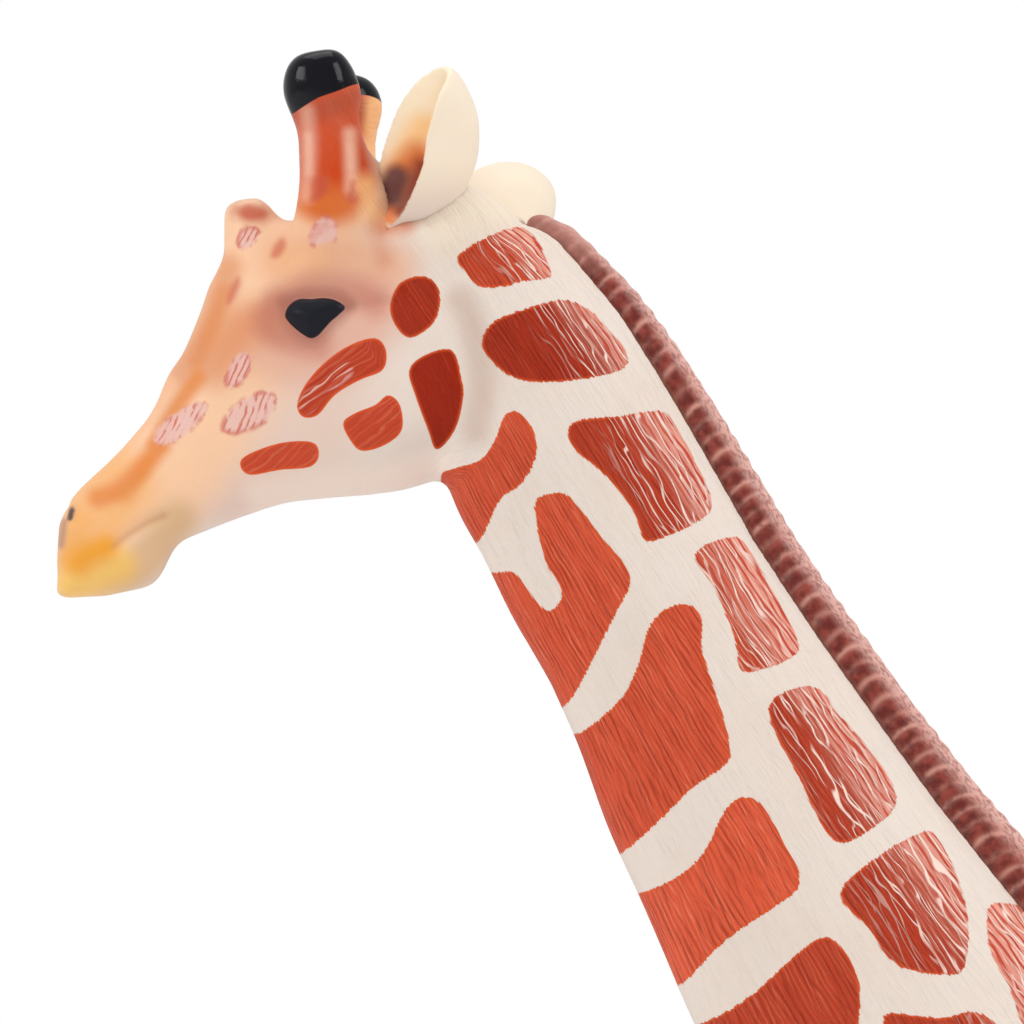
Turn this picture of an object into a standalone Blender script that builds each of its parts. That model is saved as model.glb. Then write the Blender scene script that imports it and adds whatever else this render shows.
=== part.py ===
"""Toy giraffe, 180 mm tall, in moulded plastic.

One sculpted skin is lofted from a few hand-set sections, fused and smoothed. Parting planes then divide
it into the mouldings, and every moulding gets the keyed plug or socket that it is glued by. The ears,
the tail and the ridged mane are shaped on their own and seated on the same skin.
"""

import math

import bmesh
import bpy
import numpy as np
from mathutils import Matrix, Vector
from mathutils.bvhtree import BVHTree

# Lengths are in metres. The animal looks along -X, its left side is -Y and its soles stand at z = 0.
# While it is built, the front of the chest is at x = 0.

# Torso
BELLY_HEIGHT = 0.0685
TORSO_LENGTH = 0.0655
TORSO_DEPTH = 0.0430
TORSO_WIDTH = 0.0320
# Along of the length, top and bottom above the belly of the depth, half width of the width.
TORSO_SECTION_SHARES = (
    (0.000, 0.62, 0.42, 0.12),
    (0.020, 0.68, 0.34, 0.20),
    (0.065, 0.78, 0.24, 0.29),
    (0.145, 0.90, 0.13, 0.37),
    (0.270, 0.98, 0.07, 0.43),
    (0.390, 1.00, 0.04, 0.48),
    (0.530, 0.93, 0.00, 0.50),
    (0.665, 0.83, 0.03, 0.48),
    (0.790, 0.75, 0.11, 0.45),
    (0.880, 0.70, 0.18, 0.41),
    (0.945, 0.66, 0.26, 0.35),
    (0.985, 0.60, 0.34, 0.25),
    (1.000, 0.54, 0.41, 0.13),
)
# Along, out and above the belly, then half length, half width and half depth of each muscle.
SHOULDER_SHARES = (0.20, 0.27, 0.34, 0.145, 0.195, 0.40)
THIGH_SHARES = (0.82, 0.25, 0.28, 0.165, 0.195, 0.40)
BREAST_SHARES = (0.085, 0.115, 0.46, 0.080, 0.140, 0.28)

# Neck, from the middle of its base to the middle of its joint with the head
NECK_LENGTH = 0.0763
NECK_WIDTH = 0.0184
NECK_LEAN = math.radians(31.6)
NECK_BASE_SHARES = (0.237, 0.686)
# Along, nape and throat of the neck's length, half width of the neck's width.
NECK_SECTION_SHARES = (
    (-0.060, 0.195, -0.190, 0.50),
    (0.060, 0.205, -0.195, 0.49),
    (0.200, 0.158, -0.168, 0.43),
    (0.350, 0.133, -0.153, 0.38),
    (0.470, 0.118, -0.140, 0.35),
    (0.600, 0.109, -0.120, 0.31),
    (0.730, 0.103, -0.099, 0.285),
    (0.840, 0.107, -0.091, 0.268),
    (0.934, 0.109, -0.081, 0.258),
    (1.000, 0.102, -0.055, 0.240),
    (1.045, 0.092, -0.020, 0.200),
    (1.062, 0.064, 0.000, 0.140),
)

# Head, from the poll to the tip of the muzzle
HEAD_LENGTH = 0.0307
HEAD_WIDTH = 0.0108
HEAD_PITCH = math.radians(32.5)
POLL_RISE = 0.0042
# Along, top and bottom of the head's length, half width of the head's width.
HEAD_SECTION_SHARES = (
    (-0.130, 0.010, -0.060, 0.14),
    (-0.090, 0.085, -0.150, 0.28),
    (0.000, 0.158, -0.250, 0.36),
    (0.120, 0.226, -0.285, 0.41),
    (0.240, 0.288, -0.292, 0.44),
    (0.345, 0.315, -0.276, 0.42),
    (0.420, 0.302, -0.242, 0.375),
    (0.500, 0.257, -0.197, 0.325),
    (0.600, 0.188, -0.144, 0.285),
    (0.700, 0.137, -0.115, 0.260),
    (0.790, 0.110, -0.100, 0.250),
    (0.850, 0.100, -0.116, 0.258),
    (0.905, 0.090, -0.125, 0.262),
    (0.945, 0.066, -0.115, 0.245),
    (0.985, 0.024, -0.097, 0.195),
    (1.012, -0.014, -0.082, 0.130),
    (1.028, -0.040, -0.066, 0.050),
)
# Along and above the axis of the head's length and out of its width, then the half axes of each form:
# along and above of the head's length, across of its width.
FOREHEAD_SHARES = (0.340, 0.312, 0.000, 0.056, 0.078, 0.150)
BROW_SHARES = (0.305, 0.160, 0.290, 0.105, 0.034, 0.110)
EYE_SHARES = (0.318, 0.100, 0.325, 0.062, 0.046, 0.115)
CHEEK_SHARES = (0.240, -0.100, 0.270, 0.160, 0.140, 0.150)
NOSE_SHARES = (0.918, 0.030, 0.140, 0.050, 0.036, 0.100)
LIP_SHARES = (0.912, -0.006, 0.080, 0.080, 0.052, 0.185)
CHIN_SHARES = (0.886, -0.085, 0.000, 0.103, 0.042, 0.225)

# Horns
HORN_RADIUS = 0.00170
HORN_SPREAD = 0.0064
HORN_FOOT_SPREAD = 0.0054
HORN_FOOT_SHARES = (0.221, 0.165)
HORN_TIP_SHARES = (0.039, 0.514)
# Along of the horn, radius along the head and across it of the horn's radius.
HORN_SECTION_SHARES = (
    (0.00, 1.70, 0.95),
    (0.20, 1.45, 1.00),
    (0.36, 1.12, 1.00),
    (0.55, 1.00, 0.98),
    (0.66, 1.02, 1.02),
    (0.74, 1.26, 1.22),
    (0.82, 1.40, 1.34),
    (0.90, 1.30, 1.26),
    (0.96, 1.00, 0.98),
    (1.00, 0.42, 0.42),
)

# Legs
FORE_LEG_DEPTH = 0.0130
FORE_LEG_WIDTH = 0.0100
FORE_LEG_PLACE_SHARE = 0.21
FORE_TRACK = 0.0195
FORE_STRIDE = 0.0120
HIND_LEG_DEPTH = 0.0170
HIND_LEG_WIDTH = 0.0096
HIND_LEG_PLACE_SHARE = 0.80
HIND_TRACK = 0.0186
HIND_STRIDE = 0.0120
# Height of the belly's height, place and half depth of the leg's depth, half width of the leg's width.
FORE_LEG_SECTION_SHARES = (
    (1.170, 0.050, 0.500, 0.48),
    (1.080, 0.000, 0.500, 0.50),
    (1.000, 0.000, 0.415, 0.43),
    (0.847, 0.000, 0.315, 0.35),
    (0.672, -0.020, 0.246, 0.29),
    (0.600, -0.060, 0.295, 0.35),
    (0.526, -0.035, 0.230, 0.27),
    (0.380, 0.000, 0.185, 0.23),
    (0.220, 0.000, 0.205, 0.25),
    (0.165, 0.035, 0.265, 0.30),
    (0.117, -0.030, 0.215, 0.26),
    (0.085, -0.085, 0.280, 0.33),
    (0.000, -0.150, 0.354, 0.38),
    (-0.030, -0.160, 0.360, 0.38),
)
HIND_LEG_SECTION_SHARES = (
    (1.250, -0.050, 0.500, 0.47),
    (1.110, 0.000, 0.500, 0.50),
    (0.960, 0.100, 0.353, 0.42),
    (0.790, 0.300, 0.240, 0.33),
    (0.680, 0.440, 0.220, 0.30),
    (0.615, 0.490, 0.250, 0.33),
    (0.550, 0.455, 0.200, 0.29),
    (0.380, 0.405, 0.150, 0.24),
    (0.220, 0.375, 0.158, 0.26),
    (0.165, 0.380, 0.200, 0.31),
    (0.117, 0.320, 0.165, 0.27),
    (0.085, 0.275, 0.215, 0.34),
    (0.000, 0.225, 0.270, 0.39),
    (-0.030, 0.215, 0.275, 0.39),
)
CLEFT_WIDTH = 0.0006
CLEFT_HEIGHT = 0.0050
# From and to along the hoof, from its middle, of its half depth.
CLEFT_SHARES = (-2.0, -0.2)

# Ears
EAR_LENGTH = 0.0125
EAR_WIDTH = 0.0064
EAR_CUP = 0.0043
EAR_BOW = 0.0015
EAR_ROOT_SHARES = (0.172, 0.110, 0.240)
LEFT_EAR_AIM = (0.31, -0.37, 0.87)
LEFT_EAR_FACE = (-0.85, -0.50, 0.00)
RIGHT_EAR_AIM = (0.51, 0.66, 0.56)
RIGHT_EAR_FACE = (-0.80, 0.46, 0.30)
EAR_RIM_SHARE = 0.80
# Behind the ear's axis of its cup, then the two ends along its length.
EAR_PEG_SHARES = (0.64, 0.06, 0.33)
EAR_SIDES = 9
# Along of the ear's length, half width of its width, back and hollow of its cup.
EAR_SECTION_SHARES = (
    (0.00, 0.14, 0.80, 0.00),
    (0.12, 0.16, 0.82, 0.00),
    (0.22, 0.22, 0.86, 0.00),
    (0.32, 0.34, 0.92, 0.30),
    (0.44, 0.45, 0.98, 0.72),
    (0.60, 0.50, 1.00, 0.80),
    (0.78, 0.46, 0.80, 0.62),
    (0.90, 0.36, 0.50, 0.34),
    (0.97, 0.22, 0.26, 0.12),
    (1.00, 0.10, 0.12, 0.03),
)

# Mane
MANE_WIDTH = 0.0018
MANE_HEIGHT = 0.0019
MANE_SINK = 0.0010
TUFT_PITCH = 0.0013
TUFT_SWELL = 0.00028
CREST_SHARE = 0.55
MANE_FROM_SHARE = 0.115
MANE_TO_SHARE = 1.060
# Height over the skin, share by share from the withers to the poll.
MANE_HEIGHT_SHARES = (0.10, 0.74, 1.00, 1.05, 0.84, 0.67, 0.63, 0.58, 0.46, 0.32, 0.10)

# Tail
TAIL_LENGTH = 0.0440
TAIL_RADIUS = 0.0014
TAIL_ROOT_SHARES = (0.965, 0.590)
TAIL_STAND_OFF = 0.0050
# Down of the tail's length, out of the stand-off, radius of the tail's radius.
TAIL_SECTION_SHARES = (
    (-0.030, -0.40, 1.30),
    (-0.030, 0.20, 1.35),
    (0.010, 0.72, 1.25),
    (0.090, 1.00, 1.10),
    (0.250, 1.15, 0.95),
    (0.450, 1.18, 0.88),
    (0.620, 1.16, 1.05),
    (0.740, 1.12, 1.60),
    (0.850, 1.06, 1.75),
    (0.940, 1.02, 1.25),
    (1.000, 1.00, 0.30),
)
TAIL_SIDES = 12

# Plugs and sockets
SEAM_GAP = 0.0003
PLUG_SINK = 0.0010
PLUG_KEY = 0.0012
LEG_SEAM_DROP = 0.0018
LEG_PLUG_HEIGHT = 0.0050
LEG_PLUG_SHARES = (0.46, 0.46)
NECK_SEAM_SHARE = 0.070
NECK_PLUG_HEIGHT = 0.0060
NECK_PLUG_SHARES = (0.20, 0.50)
SMALL_PLUG_RADIUS = 0.0008
SMALL_PLUG_DEPTH = 0.0022
SMALL_PLUG_SIDES = 12

# Skin
SKIN_GRAIN = 0.0005
SMOOTHING_ROUNDS = 7
SMOOTHING_SHARE = 0.5
SKIN_FACES_SHARE = 0.120
PLAIN_FACES_SHARE = 0.34
HEAD_REACH_SHARE = 0.68
REACH = 0.3000
RING_SIDES = 28
STEPS_PER_SPAN = 5

ACROSS = Vector((0, 1, 0))
IVORY = (0.86, 0.80, 0.68, 1)
TUFT_BROWN = (0.12, 0.05, 0.03, 1)
PLASTIC_ROUGHNESS = 0.42


def smooth_rows(rows, steps=STEPS_PER_SPAN):
    """Rows of one smooth curve through the hand-set rows."""
    rows = np.asarray(rows, dtype=float)
    slopes = np.gradient(rows, axis=0)
    result = []
    for row in range(len(rows) - 1):
        for step in range(steps):
            f = step / steps
            start = (1 + 2 * f) * (1 - f) ** 2 * rows[row] + f * (1 - f) ** 2 * slopes[row]
            end = f * f * (3 - 2 * f) * rows[row + 1] - f * f * (1 - f) * slopes[row + 1]
            result.append(start + end)
    result.append(rows[-1])
    return result


def section(centre, across, up, half_width, rise, drop):
    """Points of an egg-shaped section round its centre."""
    points = []
    for side in range(RING_SIDES):
        angle = 2 * math.pi * side / RING_SIDES
        tall = rise if math.sin(angle) > 0 else drop
        points.append(centre + across * (half_width * math.cos(angle)) + up * (tall * math.sin(angle)))
    return points


def add_loft(bm, rings):
    """Close a row of sections into one shell."""
    loops = [[bm.verts.new(point) for point in ring] for ring in rings]
    count = len(loops[0])
    faces = []
    for low, high in zip(loops, loops[1:]):
        for side in range(count):
            after = (side + 1) % count
            faces.append(bm.faces.new((low[side], low[after], high[after], high[side])))
    faces.append(bm.faces.new(list(reversed(loops[0]))))
    faces.append(bm.faces.new(loops[-1]))
    bmesh.ops.recalc_face_normals(bm, faces=faces)


def add_ball(bm, centre, axes):
    """Ellipsoid whose three half axes are given as vectors."""
    basis = Matrix((axes[0], axes[1], axes[2])).transposed().to_4x4()
    matrix = Matrix.Translation(centre) @ basis
    made = bmesh.ops.create_uvsphere(bm, u_segments=24, v_segments=14, radius=1, matrix=matrix)
    faces = {face for vert in made["verts"] for face in vert.link_faces}
    bmesh.ops.recalc_face_normals(bm, faces=list(faces))


def link_object(name, mesh, material=None):
    """Object in the scene for a mesh."""
    piece = bpy.data.objects.new(name, mesh)
    bpy.context.scene.collection.objects.link(piece)
    if material:
        mesh.materials.append(material)
    return piece


def new_object(name, bm, material=None, guide=False):
    """Object made from a bmesh; a guide is a cutter that isn't part of the figure."""
    mesh = bpy.data.meshes.new(name)
    bm.to_mesh(mesh)
    bm.free()
    piece = link_object(name, mesh, material)
    if guide:
        piece.hide_render = True
        piece.display_type = "WIRE"
    return piece


def evaluated_mesh(piece):
    """Mesh of an object with its modifiers applied."""
    graph = bpy.context.evaluated_depsgraph_get()
    return bpy.data.meshes.new_from_object(piece.evaluated_get(graph), depsgraph=graph)


def plastic(name, colour, roughness=PLASTIC_ROUGHNESS):
    """Plain moulded plastic."""
    material = bpy.data.materials.new(name)
    material.use_nodes = True
    shader = material.node_tree.nodes["Principled BSDF"]
    shader.inputs["Base Color"].default_value = colour
    shader.inputs["Roughness"].default_value = roughness
    shader.inputs["Metallic"].default_value = 0
    return material


def boolean(piece, cutter, operation="DIFFERENCE"):
    """Join or cut a piece by another object."""
    modifier = piece.modifiers.new(cutter.name, "BOOLEAN")
    modifier.operation = operation
    modifier.solver = "EXACT"
    modifier.object = cutter


def torso_point(along, above):
    """Place in the mirror plane by shares of the torso's length and depth."""
    return Vector((along * TORSO_LENGTH, 0, BELLY_HEIGHT + above * TORSO_DEPTH))


NECK_AIM = Vector((-math.sin(NECK_LEAN), 0, math.cos(NECK_LEAN)))
NECK_BACK = Vector((math.cos(NECK_LEAN), 0, math.sin(NECK_LEAN)))
NECK_BASE = torso_point(*NECK_BASE_SHARES)
HEAD_AIM = Vector((-math.cos(HEAD_PITCH), 0, -math.sin(HEAD_PITCH)))
HEAD_UP = Vector((-math.sin(HEAD_PITCH), 0, math.cos(HEAD_PITCH)))
POLL = NECK_BASE + NECK_AIM * NECK_LENGTH + Vector((0, 0, POLL_RISE))


def neck_point(along, back):
    """Place in the mirror plane by shares of the neck's length."""
    return NECK_BASE + NECK_AIM * (along * NECK_LENGTH) + NECK_BACK * (back * NECK_LENGTH)


def head_point(along, above, out=0, side=1):
    """Place on the head by shares of its length, and out to one side by a share of its width."""
    middle = POLL + HEAD_AIM * (along * HEAD_LENGTH) + HEAD_UP * (above * HEAD_LENGTH)
    return middle + ACROSS * (side * out * HEAD_WIDTH)


def add_torso(bm):
    """Barrel of the body."""
    rings = []
    for along, top, bottom, wide in smooth_rows(TORSO_SECTION_SHARES):
        middle = (top + bottom) / 2
        tall = (top - bottom) / 2 * TORSO_DEPTH
        centre = torso_point(along, middle)
        rings.append(section(centre, ACROSS, Vector((0, 0, 1)), wide * TORSO_WIDTH, tall, tall))
    add_loft(bm, rings)


def add_muscle(bm, shares, side):
    """Bulge on the body at a shoulder, thigh or breast."""
    along, out, above, long, wide, tall = shares
    centre = torso_point(along, above) + ACROSS * (side * out * TORSO_WIDTH)
    axes = (
        Vector((long * TORSO_LENGTH, 0, 0)),
        Vector((0, wide * TORSO_WIDTH, 0)),
        Vector((0, 0, tall * TORSO_DEPTH)),
    )
    add_ball(bm, centre, axes)


def add_neck(bm):
    """Tapering neck."""
    rings = []
    for along, nape, throat, wide in smooth_rows(NECK_SECTION_SHARES):
        centre = neck_point(along, (nape + throat) / 2)
        tall = (nape - throat) / 2 * NECK_LENGTH
        rings.append(section(centre, ACROSS, NECK_BACK, wide * NECK_WIDTH, tall, tall))
    add_loft(bm, rings)


def add_head(bm):
    """Skull and muzzle."""
    rings = []
    for along, top, bottom, wide in smooth_rows(HEAD_SECTION_SHARES):
        centre = head_point(along, (top + bottom) / 2)
        tall = (top - bottom) / 2 * HEAD_LENGTH
        rings.append(section(centre, ACROSS, HEAD_UP, wide * HEAD_WIDTH, tall, tall))
    add_loft(bm, rings)


def add_head_form(bm, shares, side):
    """Bulge on the head, such as a brow or a lip."""
    along, above, out, long, tall, wide = shares
    axes = (HEAD_AIM * (long * HEAD_LENGTH), HEAD_UP * (tall * HEAD_LENGTH), ACROSS * (wide * HEAD_WIDTH))
    add_ball(bm, head_point(along, above, out, side), axes)


def add_horn(bm, side):
    """Skin-covered horn with a knob on top."""
    foot = head_point(*HORN_FOOT_SHARES) + ACROSS * (side * HORN_FOOT_SPREAD / 2)
    tip = head_point(*HORN_TIP_SHARES) + ACROSS * (side * HORN_SPREAD / 2)
    front = ACROSS.cross((tip - foot).normalized())
    rings = []
    for along, deep, wide in smooth_rows(HORN_SECTION_SHARES):
        centre = foot.lerp(tip, along)
        half = deep * HORN_RADIUS
        rings.append(section(centre, ACROSS, front, wide * HORN_RADIUS, half, half))
    add_loft(bm, rings)


class Leg:
    """One leg by its table of sections and its stance."""

    def __init__(self, name, side, swing, fore):
        self.name = name
        self.side = side
        self.swing = swing
        self.fore = fore
        self.rows = FORE_LEG_SECTION_SHARES if fore else HIND_LEG_SECTION_SHARES
        self.depth = FORE_LEG_DEPTH if fore else HIND_LEG_DEPTH
        self.width = FORE_LEG_WIDTH if fore else HIND_LEG_WIDTH
        self.place = FORE_LEG_PLACE_SHARE if fore else HIND_LEG_PLACE_SHARE
        self.track = FORE_TRACK if fore else HIND_TRACK
        self.stride = FORE_STRIDE if fore else HIND_STRIDE

    def centre(self, height, place):
        """Middle of the section at a share of the belly's height."""
        walk = self.swing * self.stride / 2 * (1 - min(height, 1))
        x = self.place * TORSO_LENGTH + place * self.depth + walk
        return Vector((x, self.side * self.track / 2, height * BELLY_HEIGHT))

    def rings(self):
        """Sections from the root down to below the sole."""
        ahead = Vector((1, 0, 0))
        result = []
        for height, place, deep, wide in smooth_rows(self.rows):
            half = deep * self.depth
            result.append(section(self.centre(height, place), ACROSS, ahead, wide * self.width, half, half))
        return result


LEGS = (
    Leg("front_left_leg", -1, -1, True),
    Leg("front_right_leg", 1, 1, True),
    Leg("rear_left_leg", -1, 1, False),
    Leg("rear_right_leg", 1, -1, False),
)


def make_skin():
    """Fuse every form into one smooth skin."""
    bm = bmesh.new()
    add_torso(bm)
    add_neck(bm)
    add_head(bm)
    for side in (-1, 1):
        for shares in (SHOULDER_SHARES, THIGH_SHARES, BREAST_SHARES):
            add_muscle(bm, shares, side)
        for shares in (BROW_SHARES, EYE_SHARES, CHEEK_SHARES, NOSE_SHARES, LIP_SHARES):
            add_head_form(bm, shares, side)
        add_horn(bm, side)
    add_head_form(bm, FOREHEAD_SHARES, 1)
    add_head_form(bm, CHIN_SHARES, 1)
    for leg in LEGS:
        add_loft(bm, leg.rings())
    forms = new_object("skin_forms", bm)
    fuse = forms.modifiers.new("fuse", "REMESH")
    fuse.mode = "VOXEL"
    fuse.voxel_size = SKIN_GRAIN
    smooth = forms.modifiers.new("smooth", "SMOOTH")
    smooth.factor = SMOOTHING_SHARE
    smooth.iterations = SMOOTHING_ROUNDS
    skin = link_object("skin", evaluated_mesh(forms))
    bpy.data.objects.remove(forms)
    plain = skin.vertex_groups.new(name="plain")
    for vert in skin.data.vertices:
        away = (vert.co - head_point(1 / 2, 0)).length > HEAD_REACH_SHARE * HEAD_LENGTH
        plain.add([vert.index], float(away), "REPLACE")
    for name, share in (("thin", SKIN_FACES_SHARE), ("thin_plain", PLAIN_FACES_SHARE)):
        thin = skin.modifiers.new(name, "DECIMATE")
        thin.ratio = share
    thin.vertex_group = plain.name
    mesh = evaluated_mesh(skin)
    bpy.data.objects.remove(skin)
    return mesh


def swollen_skin(mesh):
    """The skin grown by the seam gap, to trim what sits on it."""
    skin = link_object("swollen_skin", mesh.copy())
    skin.hide_render = True
    skin.display_type = "WIRE"
    grow = skin.modifiers.new("grow", "DISPLACE")
    grow.strength = SEAM_GAP
    grow.mid_level = 0
    return skin


def box_guide(name, low, high):
    """Cutter with its faces along the axes."""
    bm = bmesh.new()
    size = [high[axis] - low[axis] for axis in range(3)]
    middle = Vector([(high[axis] + low[axis]) / 2 for axis in range(3)])
    matrix = Matrix.Translation(middle) @ Matrix.Diagonal((*size, 1))
    bmesh.ops.create_cube(bm, size=1, matrix=matrix)
    return new_object(name, bm, guide=True)


def neck_half_space(name, shift):
    """Cutter that holds all that lies beyond the neck's seam, moved along the neck by a shift."""
    middle = neck_point(NECK_SEAM_SHARE, 0) + NECK_AIM * (shift + REACH / 2)
    turn = Matrix((NECK_BACK, ACROSS, NECK_AIM)).transposed().to_4x4()
    bm = bmesh.new()
    matrix = Matrix.Translation(middle) @ turn @ Matrix.Diagonal((REACH, REACH, REACH, 1))
    bmesh.ops.create_cube(bm, size=1, matrix=matrix)
    bmesh.ops.recalc_face_normals(bm, faces=bm.faces)
    return new_object(name, bm, guide=True)


def keyed_plug(name, frame, size, ease=0):
    """Prism with one corner cut off, so that it goes in one way only; ease makes it a socket.

    The frame is its seat, its aim and its front; the size is its depth, width and height.
    """
    seat, aim, ahead = frame
    depth, width, height = size
    deep = depth / 2 + ease
    wide = width / 2 + ease
    outline = ((-deep, -wide), (deep, -wide), (deep, wide), (PLUG_KEY - deep, wide), (-deep, wide - PLUG_KEY))
    rings = []
    for reach in (-PLUG_SINK, height + ease):
        rings.append([seat + aim * reach + ahead * x + ACROSS * y for x, y in outline])
    bm = bmesh.new()
    add_loft(bm, rings)
    return new_object(name, bm, guide=True)


def round_plug(name, inner, outer, radius):
    """Round peg between two points."""
    aim = (outer - inner).normalized()
    first = aim.orthogonal().normalized()
    second = aim.cross(first)
    rings = []
    for end in (inner, outer):
        ring = []
        for side in range(SMALL_PLUG_SIDES):
            angle = 2 * math.pi * side / SMALL_PLUG_SIDES
            ring.append(end + first * (radius * math.cos(angle)) + second * (radius * math.sin(angle)))
        rings.append(ring)
    bm = bmesh.new()
    add_loft(bm, rings)
    return new_object(name, bm, guide=True)


def make_leg(skin_mesh, leg, torso, material):
    """Cut one leg from the skin, key it into the torso and split its hoof."""
    seam = BELLY_HEIGHT - LEG_SEAM_DROP
    middle = TORSO_LENGTH / 2
    near, far = (-REACH, middle) if leg.fore else (middle, REACH)
    left, right = (-REACH, 0) if leg.side < 0 else (0, REACH)
    piece = link_object(leg.name, skin_mesh.copy(), material)
    box = box_guide(leg.name + "_region", (near, left, 0), (far, right, seam - SEAM_GAP / 2))
    boolean(piece, box, "INTERSECT")
    rows = np.asarray(smooth_rows(leg.rows))
    order = np.argsort(rows[:, 0])
    share = seam / BELLY_HEIGHT
    place = float(np.interp(share, rows[order, 0], rows[order, 1]))
    seat = leg.centre(share, place)
    frame = (seat, Vector((0, 0, 1)), Vector((1, 0, 0)))
    size = (LEG_PLUG_SHARES[0] * leg.depth, LEG_PLUG_SHARES[1] * leg.width, LEG_PLUG_HEIGHT)
    boolean(piece, keyed_plug(leg.name + "_plug", frame, size), "UNION")
    boolean(torso, keyed_plug(leg.name + "_socket", frame, size, SEAM_GAP))
    sole = leg.centre(0, leg.rows[-2][1])
    half = leg.rows[-1][2] * leg.depth
    low = (sole.x + CLEFT_SHARES[0] * half, sole.y - CLEFT_WIDTH / 2, -CLEFT_HEIGHT)
    high = (sole.x + CLEFT_SHARES[1] * half, sole.y + CLEFT_WIDTH / 2, CLEFT_HEIGHT)
    boolean(piece, box_guide(leg.name + "_cleft", low, high))


def ear_middle(root, aim, face, along):
    """Place on the ear's axis, which bows backwards towards the tip."""
    return root + aim * (along * EAR_LENGTH) - face * (along ** 3 * EAR_BOW)


def ear_section(root, aim, face, wide, back, hollow):
    """Points of a cupped section: round the back from rim to rim, then along the hollow."""
    across = aim.cross(face)
    points = []
    for side in range(EAR_SIDES):
        share = 2 * side / (EAR_SIDES - 1) - 1
        points.append(root + across * (share * wide) - face * (back * (1 - share ** 2)))
    for side in range(1, EAR_SIDES - 1):
        share = 1 - 2 * side / (EAR_SIDES - 1)
        points.append(root + across * (share * wide * EAR_RIM_SHARE) - face * (hollow * (1 - share ** 2)))
    return points


def make_ear(name, side, aim, face, swollen, head, material):
    """Cupped ear, trimmed to the head and pegged into it."""
    aim = Vector(aim).normalized()
    face = Vector(face)
    face = (face - aim * face.dot(aim)).normalized()
    root = head_point(*EAR_ROOT_SHARES, side=side)
    rings = []
    for along, wide, back, hollow in smooth_rows(EAR_SECTION_SHARES, 2):
        centre = ear_middle(root, aim, face, along)
        rings.append(ear_section(centre, aim, face, wide * EAR_WIDTH, back * EAR_CUP, hollow * EAR_CUP))
    bm = bmesh.new()
    add_loft(bm, rings)
    ear = new_object(name, bm, material)
    boolean(ear, swollen)
    behind, start, end = EAR_PEG_SHARES
    inner = ear_middle(root, aim, face, start) - face * (behind * EAR_CUP)
    outer = ear_middle(root, aim, face, end) - face * (behind * EAR_CUP)
    boolean(ear, round_plug(name + "_peg", inner, outer, SMALL_PLUG_RADIUS), "UNION")
    deeper = inner - aim * SEAM_GAP
    boolean(head, round_plug(name + "_socket", deeper, outer, SMALL_PLUG_RADIUS + SEAM_GAP))


def nape_line(mesh, count):
    """Points along the back of the neck, on the skin, and their outward directions."""
    bm = bmesh.new()
    bm.from_mesh(mesh)
    tree = BVHTree.FromBMesh(bm)
    bm.free()
    points = []
    for step in range(count):
        along = MANE_FROM_SHARE + (MANE_TO_SHARE - MANE_FROM_SHARE) * step / (count - 1)
        start = neck_point(along, 0) + NECK_BACK * REACH
        hit = tree.ray_cast(start, -NECK_BACK)
        points.append(hit[0])
    return points


def mane_loft(name, points, widths, heights, sink, material=None):
    """Upright strip along the nape with a rounded crest; without a material it is a cutter."""
    rings = []
    for index, point in enumerate(points):
        before = points[max(index - 1, 0)]
        after = points[min(index + 1, len(points) - 1)]
        out = ACROSS.cross(after - before).normalized()
        out = out if out.dot(NECK_BACK) > 0 else -out
        high, wide = heights[index], widths[index] / 2
        edge, crest = high * CREST_SHARE, wide * CREST_SHARE
        profile = ((-wide, -sink), (wide, -sink), (wide, edge), (crest, high), (-crest, high), (-wide, edge))
        rings.append([point + ACROSS * y + out * z for y, z in profile])
    bm = bmesh.new()
    add_loft(bm, rings)
    return new_object(name, bm, material, guide=material is None)


def make_mane(mesh, head, material):
    """Tufted ridge, seated in a groove along the nape."""
    tufts = int(NECK_LENGTH * (MANE_TO_SHARE - MANE_FROM_SHARE) / TUFT_PITCH)
    count = 2 * tufts + 1
    points = nape_line(mesh, count)
    grid = np.linspace(0, 1, len(MANE_HEIGHT_SHARES))
    heights = np.interp(np.linspace(0, 1, count), grid, MANE_HEIGHT_SHARES) * MANE_HEIGHT
    swell = np.array([(step % 2) * TUFT_SWELL for step in range(count)])
    mane_loft("mane_strip", points, MANE_WIDTH + swell, heights + swell, MANE_SINK, material)
    first = (points[0] - points[1]).normalized() * SEAM_GAP
    last = (points[-1] - points[-2]).normalized() * SEAM_GAP
    ends = [points[0] + first] + points + [points[-1] + last]
    widths = np.full(len(ends), MANE_WIDTH + 2 * TUFT_SWELL + 2 * SEAM_GAP)
    heights = np.full(len(ends), 2 * MANE_HEIGHT)
    boolean(head, mane_loft("mane_groove", ends, widths, heights, MANE_SINK + SEAM_GAP))


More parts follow.
